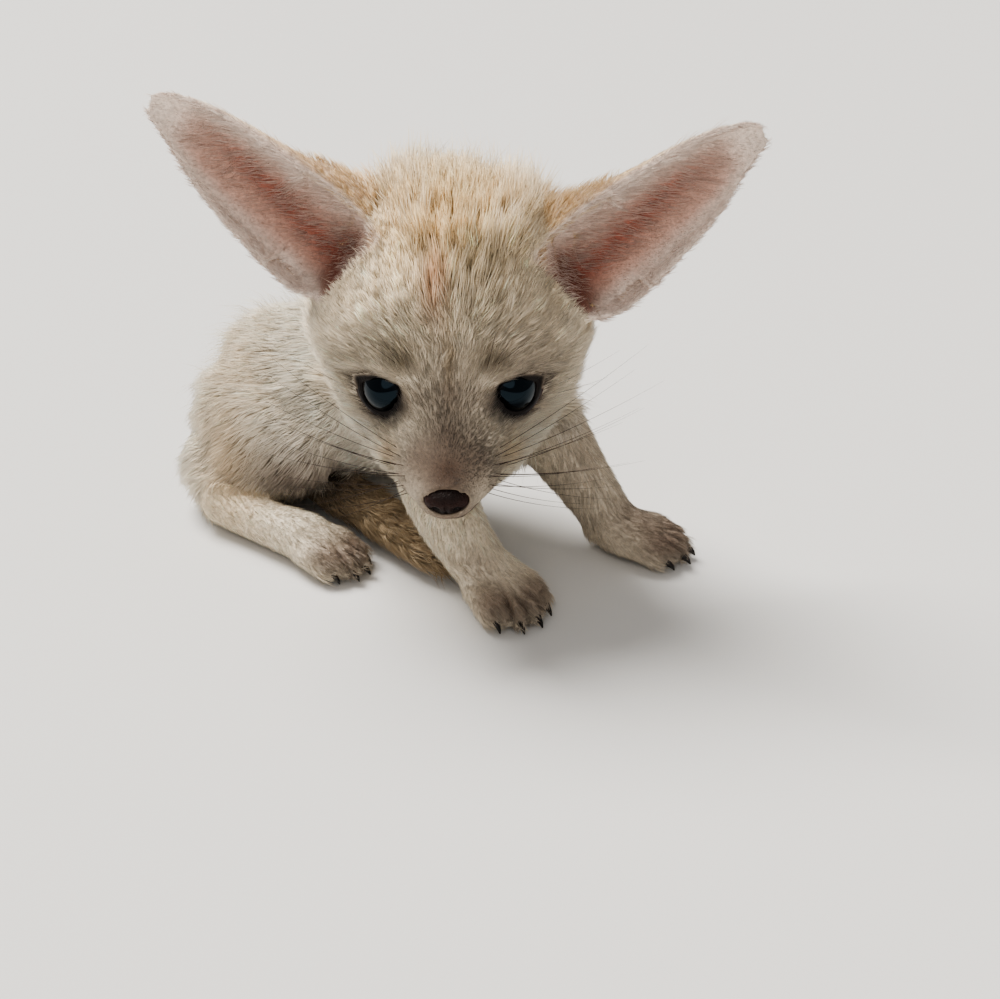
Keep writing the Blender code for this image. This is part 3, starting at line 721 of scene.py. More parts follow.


# Markings and painted shade: one set of colours for the skin and for the coat that grows on it

markingsAndShade = [
    # in the head's own mm: middle, radii, tone, amount, and -1 where the left side has it too
    ((0.0, -18.0, 34.0), (24.0, 22.0, 16.0), "straw", 0.9),
    ((2.0, -3.0, 25.5), (2.4, 5.5, 7.5), "rust", 0.6),
    ((1.0, -12.0, 33.0), (7.0, 7.0, 5.0), "gold", 0.5),
    ((9.0, -20.0, 34.0), (6.0, 8.0, 5.0), "gold", 0.4),
    ((-12.0, -22.0, 34.0), (7.0, 8.0, 5.0), "gold", 0.45),
    ((-4.6, -7.5, 28.0), (1.5, 6.0, 9.0), "olive", 0.6),
    ((-9.6, -7.5, 26.5), (1.4, 6.0, 9.0), "olive", 0.5),
    ((7.5, -8.5, 28.0), (1.6, 6.0, 8.0), "olive", 0.3),
    ((14.0, -6.0, 24.0), (1.8, 6.0, 8.0), "olive", 0.2),
    ((22.0, -8.0, 20.0), (4.0, 8.0, 8.0), "khaki", 0.25),
    ((-22.0, -8.0, 20.0), (4.0, 8.0, 8.0), "khaki", 0.3),
    ((-0.4, 3.5, 11.0), (0.9, 6.0, 6.0), "khaki", 0.7),
    ((0.0, 8.0, 6.0), (4.2, 6.0, 5.0), "taupe", 0.6),
    ((5.4, 6.5, 3.0), (2.0, 4.0, 4.0), "taupe", 0.4, -1),
    ((0.0, 15.0, 1.5), (5.0, 6.5, 4.4), "muzzle", 0.75),
    ((4.5, 16.5, -3.0), (4.0, 5.5, 4.6), "muzzle", 0.7, -1),
    ((0.0, 22.0, -2.0), (8.0, 7.0, 6.6), "muzzle", 0.95),
    ((0.0, 25.8, -1.8), (6.2, 4.6, 4.8), "umber", 0.6),
    ((0.0, 27.0, -7.0), (9.0, 3.0, 5.0), "muzzle", 0.6),
    # painted shade: the front of the face darkened, as it lies in shade below the lit crown
    ((0.0, 6.0, 8.0), (22.0, 9.0, 9.0), "taupe", 0.2),
    ((0.0, 27.5, -9.6), (6.5, 4.0, 2.6), "muzzle", 0.9),
    ((7.0, 17.0, -3.5), (4.5, 6.5, 4.6), "muzzle", 0.6, -1),
    ((8.2, 20.0, -7.6), (3.4, 5.0, 3.4), "taupe", 0.45, -1),
    ((12.0, 12.0, -6.6), (3.2, 3.4, 2.6), "tan", 0.4),
    ((-12.4, 11.4, -7.2), (3.2, 3.4, 2.6), "tan", 0.4),
    ((9.8, 2.6, 11.4), (3.4, 2.6, 2.4), "olive", 0.7),
    ((-9.0, 3.0, 11.4), (3.4, 2.6, 2.4), "olive", 0.7),
    ((9.0, 3.4, 10.8), (1.8, 1.6, 1.6), "umber", 0.45),
    ((-8.4, 3.6, 10.8), (1.8, 1.6, 1.6), "umber", 0.45),
    ((-17.0, 1.0, 8.0), (9.0, 10.0, 11.0), "taupe", 0.42),
    # painted shade on the animal's right cheek below the eye
    ((16.0, 5.0, -2.0), (7.0, 8.0, 6.0), "taupe", 0.18),
    ((0.0, 24.0, 0.5), (3.6, 5.0, 4.0), "umber", 0.4),
    ((10.2, 6.2, 1.6), (2.8, 3.2, 3.2), "maroon", 0.5),
    ((-9.8, 6.6, 2.0), (3.2, 3.2, 3.2), "maroon", 0.5),
    ((10.5, 6.0, 1.4), (1.3, 2.4, 1.9), "black", 0.9),
    ((-10.0, 6.6, 1.8), (1.7, 2.4, 2.0), "black", 0.9),
    ((17.0, 4.0, -9.0), (5.0, 4.0, 3.0), "ivory", 0.6, -1),
]
bodyMarkingsAndShade = [
    # in the model's mm, on the nodes whose names begin so
    ("", (-56.0, -6.0, 24.0), (10, 14, 18), "gold", 0.5),
    ("", (-50.0, 18.0, 40.0), (12, 14, 14), "gold", 0.3),
    # painted shade under the lower haunch, on the right hind foot and on the tail beneath it,
    # where the haunch shades them
    ("thigh", (-37.0, -8.0, 19.5), (13, 9, 9), "taupe", 0.8),
    ("hind_foot_right", (-24.0, -26.0, 8.0), (10, 7, 7), "taupe", 0.4),
    ("tail", (-31.0, 3.0, 12.0), (9, 8, 7), "umber", 0.75),
    ("tail", (-2.0, -33.0, 4.0), (9, 8, 7), "umber", 0.25),
    ("", (10.0, -44.0, 13.0), (7, 7, 6), "taupe", 0.3),
    ("", (48.0, -14.0, 10.0), (6, 6, 6), "taupe", 0.6),
    # the left forepaw: partly its own taupe grey, partly painted shade, as the left foreleg lies
    # in shade
    ("", (56.0, -19.0, 10.0), (12, 12, 9), "taupe", 0.75),
    ("", (17.0, -50.0, 9.0), (12, 9, 8), "taupe", 0.3),
    # painted shade down the left foreleg
    ("", (38.0, -14.0, 28.0), (12, 12, 20), "taupe", 0.45),
]


def blend(colours, tint, amount):
    return colours + (np.asarray(tint) - colours) * np.asarray(amount)[:, None]


def paintEyes(points, colours, onHead):
    for side in (1, -1):
        local = inEye(points, side)
        share = rimShare(local)
        inner = smoothStep(-local[:, 0], 1, 6)
        low = smoothStep(-local[:, 2], -2, 3)
        width = 1.22 + 0.1 * low + 0.24 * inner
        near = (1 - smoothStep(lengths(local), 8.2, 10.5)) * onHead
        ring = (1 - smoothStep(share, 1.1, width + 0.12)) * near
        colours = blend(colours, tones["umber"], 0.85 * ring)
        colours = blend(colours, tones["black"], (1 - smoothStep(share, 1.02, 1.18)) * near)
    return colours


def backLimit(share, across):
    # how far round the ear's edge its tan back comes: to the white rim above the cup, not below it
    upper = smoothStep(-across, 0.2, 0.7)
    return -0.1 + upper * np.interp(share, (0.05, 0.4), (0.75, 0.3))


def paintEars(points, normals, names, colours, onHead):
    for side in (1, -1):
        ear = names == ("ear_right" if side == 1 else "ear_left")
        share, across, height, front = inEar(points, side)
        facing = normals @ front
        limit = backLimit(share, across)
        back = ear * (1 - smoothStep(facing, limit - 0.15, limit + 0.1))
        root = onHead * smoothStep(share, -0.3, 0.0) * (1 - smoothStep(np.abs(across), 1.1, 1.7))
        root = root * smoothStep(-height, 2, 6) * (1 - smoothStep(facing, 0.2, 0.6))
        amount = 0.9 * (1 - smoothStep(share, 0.35, 0.9))
        colours = blend(colours, tones["tan"], amount * np.maximum(back, 0.6 * root))
        inside = ear * smoothStep(facing, -0.15, 0.25)
        colours = blend(colours, tones["blush"], 0.85 * inside * (1 - back))
        inside = inside * (1 - smoothStep(share, 0.72, 0.95))
        inside = inside * smoothStep(1 - np.abs(across), 0.06, 0.3)
        band = smoothStep(-across, 0.1, 0.7)
        flush = inside * (1 - smoothStep(across, 0.5, 0.9)) * (1 - 0.75 * band)
        colours = blend(colours, tones["pink"], 0.85 * flush)
        streak = np.exp(-((across - 0.3 + 0.7 * share) / 0.3) ** 2)
        amount = 0.9 * inside * streak * (1 - smoothStep(share, 0.5, 0.85))
        colours = blend(colours, tones["red"], amount)
        deep = inside * (1 - smoothStep(share, 0.04, 0.24)) * smoothStep(across, -0.7, -0.1)
        colours = blend(colours, tones["maroon"], 0.8 * deep)
    return colours


def paint(points, normals, names, dark):
    colours = np.tile(tones["cream"], (len(points), 1))
    world = points / mm
    head = inHead(points)
    colours[np.isin(names, ("torso", "neck", "thigh_right", "thigh_left"))] = tones["pale"]
    colours[np.char.startswith(names, "tail")] = tones["buff"]
    onHead = names == "head"
    chin = smoothStep(-head[:, 2], 11, 14) * onHead
    for centre, radii, name, amount, *both in markingsAndShade:
        for side in (1, *both):
            away = ((head - mirrored(centre, side)) / np.array(radii)) ** 2
            share = amount * np.exp(-away.sum(1)) * onHead * (1 - chin)
            colours = blend(colours, tones[name], share)
    for start, centre, radii, name, amount in bodyMarkingsAndShade:
        away = ((world - np.array(centre)) / np.array(radii)) ** 2
        here = ~onHead & np.char.startswith(names, start)
        colours = blend(colours, tones[name], amount * np.exp(-away.sum(1)) * here)
    for node in footNodes:
        gap = nearLine(world[:, :2], toeLines(node)[0][:, :2])
        near = (names == node) * (1 - smoothStep(gap, 3.5, 11)) * smoothStep(world[:, 2], 2, 7)
        colours = blend(colours, tones["taupe"], 0.75 * near)
    feet = np.isin(names, footNodes)
    # painted shade: the grooves between the toes darkened
    colours = blend(colours, tones["umber"], 0.75 * dark * feet)
    sole = 1 - smoothStep(world[:, 2], 0.6, 1.6)
    colours = blend(colours, tones["umber"], 0.8 * feet * sole)
    return paintEars(points, normals, names, paintEyes(points, colours, onHead), onHead)


# Materials

def addNode(tree, kind, inputs, **settings):
    # inputs, by name or number, are values or other nodes' outputs
    node = tree.nodes.new("ShaderNode" + kind)
    for key, value in settings.items():
        setattr(node, key, value)
    for key, value in inputs.items():
        if isinstance(value, bpy.types.NodeSocket):
            tree.links.new(value, node.inputs[key])
        else:
            node.inputs[key].default_value = value
    return node.outputs


def reckon(tree, operation, *values):
    return addNode(tree, "Math", dict(enumerate(values)), operation=operation)[0]


def timesGrey(tree, colour, amount):
    grey = addNode(tree, "CombineColor", dict.fromkeys(("Red", "Green", "Blue"), amount))
    return addNode(tree, "Mix", {"Factor": 1.0, "A": colour, "B": grey["Color"]},
                   data_type="RGBA", blend_type="MULTIPLY")["Result"]


def attribute(tree, name, output="Fac"):
    return addNode(tree, "Attribute", {}, attribute_name=name)[output]


def nodeGroup(name, inputs, outputs):
    tree = bpy.data.node_groups.new(name, "ShaderNodeTree")
    for label, value in inputs.items():
        kind = "NodeSocketColor" if isinstance(value, tuple) else "NodeSocketFloat"
        socket = tree.interface.new_socket(name=label, in_out="INPUT", socket_type=kind)
        socket.default_value = value
    for label, kind in outputs.items():
        tree.interface.new_socket(name=label, in_out="OUTPUT", socket_type=kind)
    return tree, tree.nodes.new("NodeGroupInput").outputs, tree.nodes.new("NodeGroupOutput").inputs


def grainGroup():
    # fine grain of skin, horn and leather: a colour that varies and a height
    tree, start, end = nodeGroup(
        "skin grain", {"Color": (0.5, 0.5, 0.5, 1), "Scale": 900.0, "Variation": 0.3},
        {"Color": "NodeSocketColor", "Height": "NodeSocketFloat"})
    where = {"Vector": addNode(tree, "TexCoord", {})["Object"], "Scale": start["Scale"]}
    cells = addNode(tree, "TexVoronoi", where, feature="DISTANCE_TO_EDGE")["Distance"]
    noise = addNode(tree, "TexNoise", where | {"Detail": 5})["Fac"]
    centred = reckon(tree, "SUBTRACT", noise, 0.5)
    spread = reckon(tree, "MULTIPLY_ADD", centred, start["Variation"], 0.5)
    shade = addNode(tree, "MapRange", {"Value": spread, "To Max": 2.0})["Result"]
    tree.links.new(timesGrey(tree, start["Color"], shade), end["Color"])
    tree.links.new(reckon(tree, "MULTIPLY_ADD", cells, 2.0, noise), end["Height"])
    return tree


def hairGroup():
    # a hair's colour from its root to its tip: darker towards the root as painted shade deep in
    # the coat, lighter towards the tip
    tree, start, end = nodeGroup(
        "hair shading",
        {"Color": (0.5, 0.5, 0.5, 1), "Along": 0.0, "Tip": 0.0, "Root shade": 0.6,
         "Tip shade": 1.1, "Tip color": (0.03, 0.02, 0.015, 1)},
        {"Color": "NodeSocketColor"})
    shade = addNode(tree, "MapRange", {
        "Value": start["Along"], "To Min": start["Root shade"], "To Max": start["Tip shade"]})
    amount = reckon(tree, "MULTIPLY", reckon(tree, "POWER", start["Along"], 2.0), start["Tip"])
    final = addNode(tree, "Mix", {
        "Factor": amount, "A": timesGrey(tree, start["Color"], shade["Result"]),
        "B": start["Tip color"]}, data_type="RGBA")
    tree.links.new(final["Result"], end["Color"])
    return tree


skinGrain = grainGroup()
hairShading = hairGroup()


def addRamp(tree, stops):
    # colours along the piece, by its own attribute
    node = tree.nodes.new("ShaderNodeValToRGB")
    tree.links.new(attribute(tree, "along"), node.inputs["Fac"])
    elements = node.color_ramp.elements
    for element, (position, colour) in zip(elements, (stops[0], stops[-1])):
        element.position = position
        element.color = (*colour, 1)
    for position, colour in stops[1:-1]:
        elements.new(position).color = (*colour, 1)
    return node.outputs["Color"]


def newMaterial(name, roughness, **sockets):
    made = bpy.data.materials.new(name)
    made.use_nodes = True
    shader = made.node_tree.nodes["Principled BSDF"].inputs
    shader["Roughness"].default_value = roughness
    for label, value in sockets.items():
        shader[label.replace("_", " ")].default_value = value
    return made, made.node_tree, shader


def grainMaterial(name, colour, roughness, scale, variation, bump, depth, **sockets):
    # colour is a plain one, the stops of a ramp or the name of a painted attribute
    made, tree, shader = newMaterial(name, roughness, **sockets)
    if isinstance(colour, str):
        colour = attribute(tree, colour, "Color")
    elif isinstance(colour, list):
        colour = addRamp(tree, colour)
    else:
        colour = (*colour, 1)
    grain = addNode(tree, "Group", {"Color": colour, "Scale": scale, "Variation": variation},
                    node_tree=skinGrain)
    tree.links.new(grain["Color"], shader["Base Color"])
    if bump:
        relief = addNode(tree, "Bump", {"Strength": bump, "Distance": depth,
                                        "Height": grain["Height"]})
        tree.links.new(relief["Normal"], shader["Normal"])
    return made


def hairMaterial(name, rootShade, tipShade):
    made, tree, shader = newMaterial(name, 0.6, Specular_IOR_Level=0.35, Sheen_Weight=0.12)
    hair = addNode(tree, "Group", {
        "Color": attribute(tree, "marking", "Color"), "Along": attribute(tree, "along"),
        "Tip": attribute(tree, "tip"), "Root shade": rootShade, "Tip shade": tipShade,
        "Tip color": (*tones["umber"], 1)}, node_tree=hairShading)
    tree.links.new(hair["Color"], shader["Base Color"])
    return made


# name, colour, roughness, grain's scale and variation, bump and its depth in metres
skinPaint = ("skin under the coat", "marking", 0.7, 1400.0, 0.5, 0.4, 0.0002)
nosePaint = ("nose leather", "marking", 0.6, 1500.0, 0.6, 0.5, 0.0003)
lipPaint = ("lips", tone(48, 32, 26), 0.5, 1500.0, 0.5, 0.3, 0.0003)
hornPaint = ("claw horn", tones["black"] * 0.8, 0.35, 700.0, 0.7, 0.2, 0.0003)
lidPaint = ("eyelid skin", [(0.2, tones["black"] * 0.35), (0.75, tones["maroon"] * 0.3)],
            0.5, 2600.0, 0.5, 0.35, 0.00015)
eyePaint = ("eye", [(0.0, (0.001, 0.001, 0.0015)), (0.42, (0.0012, 0.001, 0.0015)),
                    (0.5, (0.010, 0.006, 0.005)), (0.66, (0.016, 0.010, 0.008)),
                    (0.74, (0.002, 0.002, 0.002)), (0.85, (0.02, 0.015, 0.013))],
            0.03, 1800.0, 0.8, 0, 0)
leather = {"Coat_Roughness": 0.25, "Specular_IOR_Level": 0.25}


# Meshes from arrays

def meshObject(name, points, faces, made):
    mesh = bpy.data.meshes.new(name)
    faces = np.asarray(faces, np.int32)
    mesh.vertices.add(len(points))
    mesh.vertices.foreach_set("co", np.asarray(points, np.float32).ravel())
    mesh.loops.add(faces.size)
    mesh.loops.foreach_set("vertex_index", faces.ravel())
    mesh.polygons.add(len(faces))
    starts = np.arange(0, faces.size, faces.shape[1], dtype=np.int32)
    mesh.polygons.foreach_set("loop_start", starts)
    mesh.polygons.foreach_set("use_smooth", np.ones(len(faces), bool))
    mesh.update(calc_edges=True)
    mesh.materials.append(made)
    return addObject(name, mesh)


def setColour(mesh, name, colours):
    rows = np.ones((len(colours), 4), np.float32)
    rows[:, :3] = colours
    layer = mesh.color_attributes.new(name=name, type="FLOAT_COLOR", domain="POINT")
    layer.data.foreach_set("color", rows.ravel())


def setValue(mesh, name, values):
    layer = mesh.attributes.new(name=name, type="FLOAT", domain="POINT")
    layer.data.foreach_set("value", np.asarray(values, np.float32))


def setMap(mesh, corners):
    layer = mesh.uv_layers.new(name="OFBake")
    layer.data.foreach_set("uv", np.asarray(corners, np.float32).ravel())


def finishPiece(obj, slot, *replaced):
    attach(obj, "root")
    if replaced:
        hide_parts(*replaced)


# Tufts

bentTuft = {
    "faces": [(0, 2, 1), (0, 1, 4), (0, 4, 3), (1, 2, 5), (1, 5, 4), (2, 0, 3), (2, 3, 5),
              (3, 4, 6), (4, 5, 6), (5, 3, 6)],
    "along": (0, 0, 0, 0.55, 0.55, 0.55, 1.0),
}
straightTuft = {
    "faces": [(0, 2, 1), (0, 1, 3), (1, 2, 3), (2, 0, 3)],
    "along": (0, 0, 0, 1.0),
}
tuftLook = {
    "length": (0.7, 1.15),  # spread of the shares of length, width and lift
    "width": (0.75, 1.2),
    "lift": (0.6, 1.4),
    "first": 1.2,  # share of the lift in the first and in the second half
    "second": 0.5,
    "sunk": 0.15,  # mm that the root lies in the skin
    "floor": 0.15,  # mm that is kept above the floor
    "root": 0.85,  # width at the root, as a share of that at the middle
    "flat": 0.7,
    "bend": 0.3,  # share of the gathering that the middle takes part in
    "patch": 0.0015,  # size on the map
    "patchMiddle": 0.55,
}


def clumpOf(points, count, rng):
    heads = np.sort(rng.choice(len(points), count, replace=False))
    tree = KDTree(len(heads))
    for index, row in enumerate(points[heads]):
        tree.insert(row, index)
    tree.balance()
    return heads, np.array([tree.find(row)[1] for row in points])


def growTufts(name, roots, look, made):
    # closed three-sided tufts that end in a point; the longer ones bend once
    rng = np.random.default_rng(look["seed"])
    points, normals, lie, colour = (roots[key] for key in ("points", "normals", "lie", "colour"))
    count = len(points)
    heads, clump = clumpOf(points, count // look["perClump"], rng)
    swaying = rng.normal(0, look["sway"], (len(heads), 3))[clump]
    grown = rng.uniform(1 - look["uneven"], 1 + look["uneven"], len(heads))[clump]
    shade = rng.normal(1, look["shade"], len(heads))[clump] * rng.normal(1, look["grain"], count)
    lie = lie + swaying + rng.normal(0, look["stray"], (count, 3))
    lie = unit(lie - normals * (lie * normals).sum(1)[:, None])
    length = roots["length"] * grown * rng.uniform(*tuftLook["length"], count) * mm
    width = roots["width"] * rng.uniform(*tuftLook["width"], count) * mm / 2
    rise = np.radians(roots["lift"] * rng.uniform(*tuftLook["lift"], count))
    first, second = (lie * np.cos(rise * tuftLook[key])[:, None]
                     + normals * np.sin(rise * tuftLook[key])[:, None]
                     for key in ("first", "second"))
    start = points - normals * (tuftLook["sunk"] * mm)
    middle = start + first * (length * 0.5)[:, None]
    end = middle + second * (length * 0.5)[:, None]
    gather = look["gather"] * rng.uniform(0.4, 1.0, count)[:, None]
    end = end + (end[heads][clump] - end) * gather
    middle = middle + (middle[heads][clump] - middle) * gather * tuftLook["bend"]
    side = unit(np.cross(normals, first))
    up = np.cross(first, side)
    shape = bentTuft if look["bent"] else straightTuft
    size = len(shape["along"])
    vertices = np.zeros((count, size, 3))
    patch = np.zeros((size, 2))
    for corner in range(3):
        angle = math.radians(90 + 120 * corner)
        ring = side * math.cos(angle) + up * (tuftLook["flat"] * math.sin(angle))
        patch[corner] = np.array((math.cos(angle), math.sin(angle))) * tuftLook["patch"]
        vertices[:, corner] = start + ring * (width * tuftLook["root"])[:, None]
        if look["bent"]:
            vertices[:, 3 + corner] = middle + ring * width[:, None]
            patch[3 + corner] = patch[corner] * tuftLook["patchMiddle"]
    vertices[:, -1] = end
    vertices[:, :, 2] = np.maximum(vertices[:, :, 2], tuftLook["floor"] * mm)
    pattern = np.array(shape["faces"])
    faces = (np.arange(count)[:, None, None] * size + pattern[None]).reshape(-1, 3)
    obj = meshObject(name, vertices.reshape(-1, 3), faces, made)
    colour = np.clip(colour * shade[:, None], 0, 1)
    setColour(obj.data, "marking", np.repeat(colour, size, axis=0))
    setValue(obj.data, "along", np.tile(shape["along"], count))
    setValue(obj.data, "tip", np.repeat(roots["tip"], size))
    uv = np.clip(roots["maps"], 0.002, 0.998)[:, None, :] + patch[None]
    setMap(obj.data, uv.reshape(-1, 2)[faces.ravel()])
    return obj


def surfaceOf(mesh):
    mesh.calc_loop_triangles()
    corners = np.zeros(len(mesh.loop_triangles) * 3, np.int32)
    mesh.loop_triangles.foreach_get("vertices", corners)
    loops = np.zeros(len(mesh.loop_triangles) * 3, np.int32)
    mesh.loop_triangles.foreach_get("loops", loops)
    uv = np.zeros(len(mesh.loops) * 2, np.float32)
    mesh.uv_layers["OFBake"].data.foreach_get("uv", uv)
    return corners.reshape(-1, 3), loops.reshape(-1, 3), uv.reshape(-1, 2)


def sampleRoots(skin, chosen, count, rng):
    # roots spread over the chosen triangles by their area
    triangles, loops, uv, points = (skin[key] for key in ("triangles", "loops", "uv", "points"))
    a, b, c = (points[triangles[:, k]] for k in range(3))
    area = lengths(np.cross(b - a, c - a))
    weight = area * chosen[triangles].mean(1)
    edge = np.cumsum(weight)
    picked = np.searchsorted(edge, rng.uniform(0, edge[-1], count))
    picked = np.minimum(picked, len(triangles) - 1)
    first = np.sqrt(rng.uniform(0, 1, count))
    second = rng.uniform(0, 1, count)
    shares = np.stack([1 - first, first * (1 - second), first * second], 1)
    corner = triangles[picked]
    roots = {"maps": (uv[loops[picked]] * shares[:, :, None]).sum(1)}
    for key in ("points", "normals", "lie", "colour"):
        roots[key] = (skin[key][corner] * shares[:, :, None]).sum(1)
    for key in ("length", "width", "lift", "tip"):
        roots[key] = (skin[key][corner] * shares).sum(1)
    roots["normals"] = unit(roots["normals"])
    return roots


softCoat = {"perClump": 9, "sway": 0.12, "uneven": 0.16, "shade": 0.06, "grain": 0.06,
            "stray": 0.09, "gather": 0.32, "bent": True}
shortCoat = {"perClump": 7, "sway": 0.10, "uneven": 0.10, "shade": 0.06, "grain": 0.13,
             "stray": 0.08, "gather": 0.3, "bent": False}
faceHair = shortCoat | {"perClump": 10, "shade": 0.11, "grain": 0.16}
legHair = shortCoat | {"shade": 0.08, "grain": 0.19}
streakCoat = {"perClump": 14, "sway": 0.14, "uneven": 0.2, "shade": 0.17, "grain": 0.08,
              "stray": 0.08, "gather": 0.45, "bent": True}
guardHair = {"perClump": 1, "sway": 0.0, "uneven": 0.2, "shade": 0.1, "grain": 0.06,
             "stray": 0.22, "gather": 0.0, "bent": True}
coatPieces = [
    # piece, what it covers, tufts, look, changes to length, width and lift, a tint and its amount
    ("coat_face", "face", 48000, faceHair, (1, 1.1, 1)),
    ("coat_crown", "crown", 18500, softCoat),
    ("coat_brow", "brow", 4500, streakCoat, (1.5, 1, 1.1)),
    ("coat_cheeks", "cheeks", 13500, softCoat),
    ("coat_neck", "neck", 7500, softCoat),
    ("coat_back", "torso", 18000, softCoat),
    ("coat_haunch_right", "thigh_right", 12500, softCoat),
    ("coat_haunch_left", "thigh_left", 5000, softCoat),
    ("coat_forelegs", "fore", 30000, legHair),
    ("coat_hind_feet", "hind", 19000, legHair),
    ("toe_fur", "toes", 2400, softCoat, (1.5, 0.9, 0.9)),
    ("coat_tail", "tail", 8000, softCoat),
    ("coat_ears", "ear", 28000, shortCoat, (1, 0.8, 1), "blush", 0.15),
    ("ear_roots", "root", 3000, softCoat, (1.9, 0.9, 1.9)),
    ("ear_edges", "edge", 3000, softCoat, (1.8, 0.8, 0.9), "cream", 0.4),
    ("ear_cup_hair", "cup", 5000, softCoat, (3.6, 0.55, 0.8), "blush", 0.5),
    ("ear_fringe", "fringe", 5000, softCoat, (1.8, 0.7, 0.9), "blush", 0.9),
    ("guard_hair", "back", 2600, guardHair, (1.4, 0.42, 2.2)),
    ("crown_wisps", "top", 900, guardHair, (1.5, 0.45, 1.9)),
]


def coverHead(what, head, skin):
    onHead = skin["names"] == "head"
    if what == "brow":
        fore = smoothStep(head[:, 1], -16, -10) * skin["clear"]
        return onHead * smoothStep(head[:, 2], 8, 13) * fore
    if what == "top":
        return onHead * smoothStep(head[:, 2], 24, 32)
    brow = 4 * smoothStep(head[:, 2], 6, 14)
    face = smoothStep(head[:, 1], -9 + brow, -3 + brow)
    if what == "face":
        near = 1 + 1.4 * smoothStep(head[:, 1], 4, 16)
        return onHead * face * near * skin["clear"]
    upper = smoothStep(head[:, 2], -1, 3)
    return onHead * (1 - face) * (upper if what == "crown" else 1 - upper)


def coverEars(what, skin):
    cover = np.zeros(len(skin["names"]))
    for side, key in ((1, "ear_right"), (-1, "ear_left")):
        share, across, _, front = inEar(skin["points"], side)
        facing = skin["normals"] @ front
        limit = backLimit(share, across)
        owner = skin["names"] == key
        onHead = skin["names"] == "head"
        if what == "cup":
            wanted = (facing > 0.1) * (1 - smoothStep(across, -0.1, 0.6)) * (share < 0.8)
        elif what == "fringe":
            limit = np.where(across < 0, limit, -0.5)
            wanted = (np.abs(across) > 0.8) * (share > 0.0) * (facing > limit)
        elif what == "root":
            wanted = (across < -0.7) * (facing < limit) * (1 - smoothStep(share, 0.12, 0.4))
        else:
            lower = (share > -0.2) & (share < 0.12) & (np.abs(across) < 1.15)
            upper = (share > -0.25) & (share < 0.14) & (across < -0.95) & (across > -1.9)
            wanted = (lower & (facing > 0.1) & onHead) | upper
            owner = owner | onHead
        cover = np.maximum(cover, wanted * owner)
    return cover


def coverOf(what, skin):
    names = skin["names"]
    if what in ("face", "crown", "cheeks", "brow", "top"):
        return coverHead(what, inHead(skin["points"]), skin)
    if what in ("cup", "fringe", "root", "edge"):
        return coverEars(what, skin)
    world = skin["points"] / mm
    if what == "back":
        trunk = np.isin(names, ("torso", "thigh_right", "thigh_left", "neck"))
        return trunk * smoothStep(world[:, 2], 28, 45)
    if what == "toes":
        gap = nearLine(world, np.vstack([toeLines(node)[0] for node in footNodes]))
        return (gap < 5.5) * smoothStep(world[:, 2], 1.0, 2.0)
    return np.char.startswith(names, what) * skin["clear"]


def makeCoat(skin, made):
    for index, (name, what, count, look, *more) in enumerate(coatPieces):
        rng = np.random.default_rng(100 + index)
        roots = sampleRoots(skin, coverOf(what, skin), count, rng)
        changes = more[0] if more else (1, 1, 1)
        for key, change in zip(("length", "width", "lift"), changes):
            roots[key] = roots[key] * change
        if more[1:]:
            tint, amount = more[1:]
            roots["colour"] = blend(roots["colour"], tones[tint], np.full(count, amount))
        piece = growTufts(name, roots, look | {"seed": 200 + index}, made)
        finishPiece(piece, "tail_coat" if what == "tail" else "coat")
    print("coat grown")


# Eyes

eyeLook = {"radius": 7.0, "cornea": 0.35, "corneaAngle": 40.0, "segments": 96, "rings": 64}


def makeEye(side, name, made):
    bpy.ops.mesh.primitive_uv_sphere_add(segments=eyeLook["segments"],
                                         ring_count=eyeLook["rings"],
                                         radius=eyeLook["radius"] * mm,
                                         rotation=(math.radians(-90), 0, 0))
    eye = bpy.context.object
    eye.name = name
    settle(eye)
    mesh = eye.data
    points = verticesOf(mesh)
    angle = np.degrees(np.arccos(np.clip(unit(points)[:, 1], -1, 1)))
    bulge = eyeLook["cornea"] * mm * (1 - smoothStep(angle, 0, eyeLook["corneaAngle"]))
    setPoints(mesh, points + unit(points) * bulge[:, None])
    mesh.transform(eyePlace(side))
    setValue(mesh, "along", np.clip(angle / 90, 0, 1))
    mesh.materials.append(made)
    smooth(eye)
    finishPiece(eye, "eye", "eye_right" if side == 1 else "eye_left")


lidRings = [
    # share of the opening, mm from the eyeball's middle, place in the colours
    (0.95, 6.8, 0.0), (0.985, 7.15, 0.0), (1.0, 7.42, 0.05), (1.03, 7.62, 0.15),
    (1.08, 7.76, 0.3), (1.14, 7.78, 0.45),
    # these are laid on the skin, and raised by the last value in mm
    (1.24, 7.7, 0.75, 0.06), (1.36, 7.7, 1.0, -0.25), (1.3, 7.7, 1.0, -0.9),
]


def makeLids(side, name, tree, made):
    # a closed roll round the opening, from its wet edge on the eyeball to under the coat
    place = eyePlace(side)
    middle = lidMargin.mean(0)
    points = []
    for scale, radius, _, *lift in lidRings:
        for x, z in middle + (lidMargin - middle) * scale:
            y = math.sqrt(max(radius**2 - x * x - z * z, 1.0))
            spot = place @ (Vector((x * side, y, z)) * mm)
            if lift:
                near, normal = tree.find_nearest(spot)[:2]
                spot = near + normal * (lift[0] * mm)
            points.append(spot)
    count = len(lidMargin)
    faces = []
    for row in range(len(lidRings)):
        after = (row + 1) % len(lidRings) * count
        for k in range(count):
            turn = (k + 1) % count
            faces.append((row * count + k, row * count + turn, after + turn, after + k))
    obj = meshObject(name, np.array(points), faces, made)
    setValue(obj.data, "along", np.repeat([row[2] for row in lidRings], count))
    inEdit(obj, bpy.ops.mesh.normals_make_consistent, inside=False)
    applyModifier(obj, "SUBSURF", levels=1, render_levels=1)
    finishPiece(obj, "paw_coat")


# Nose, mouth and whiskers

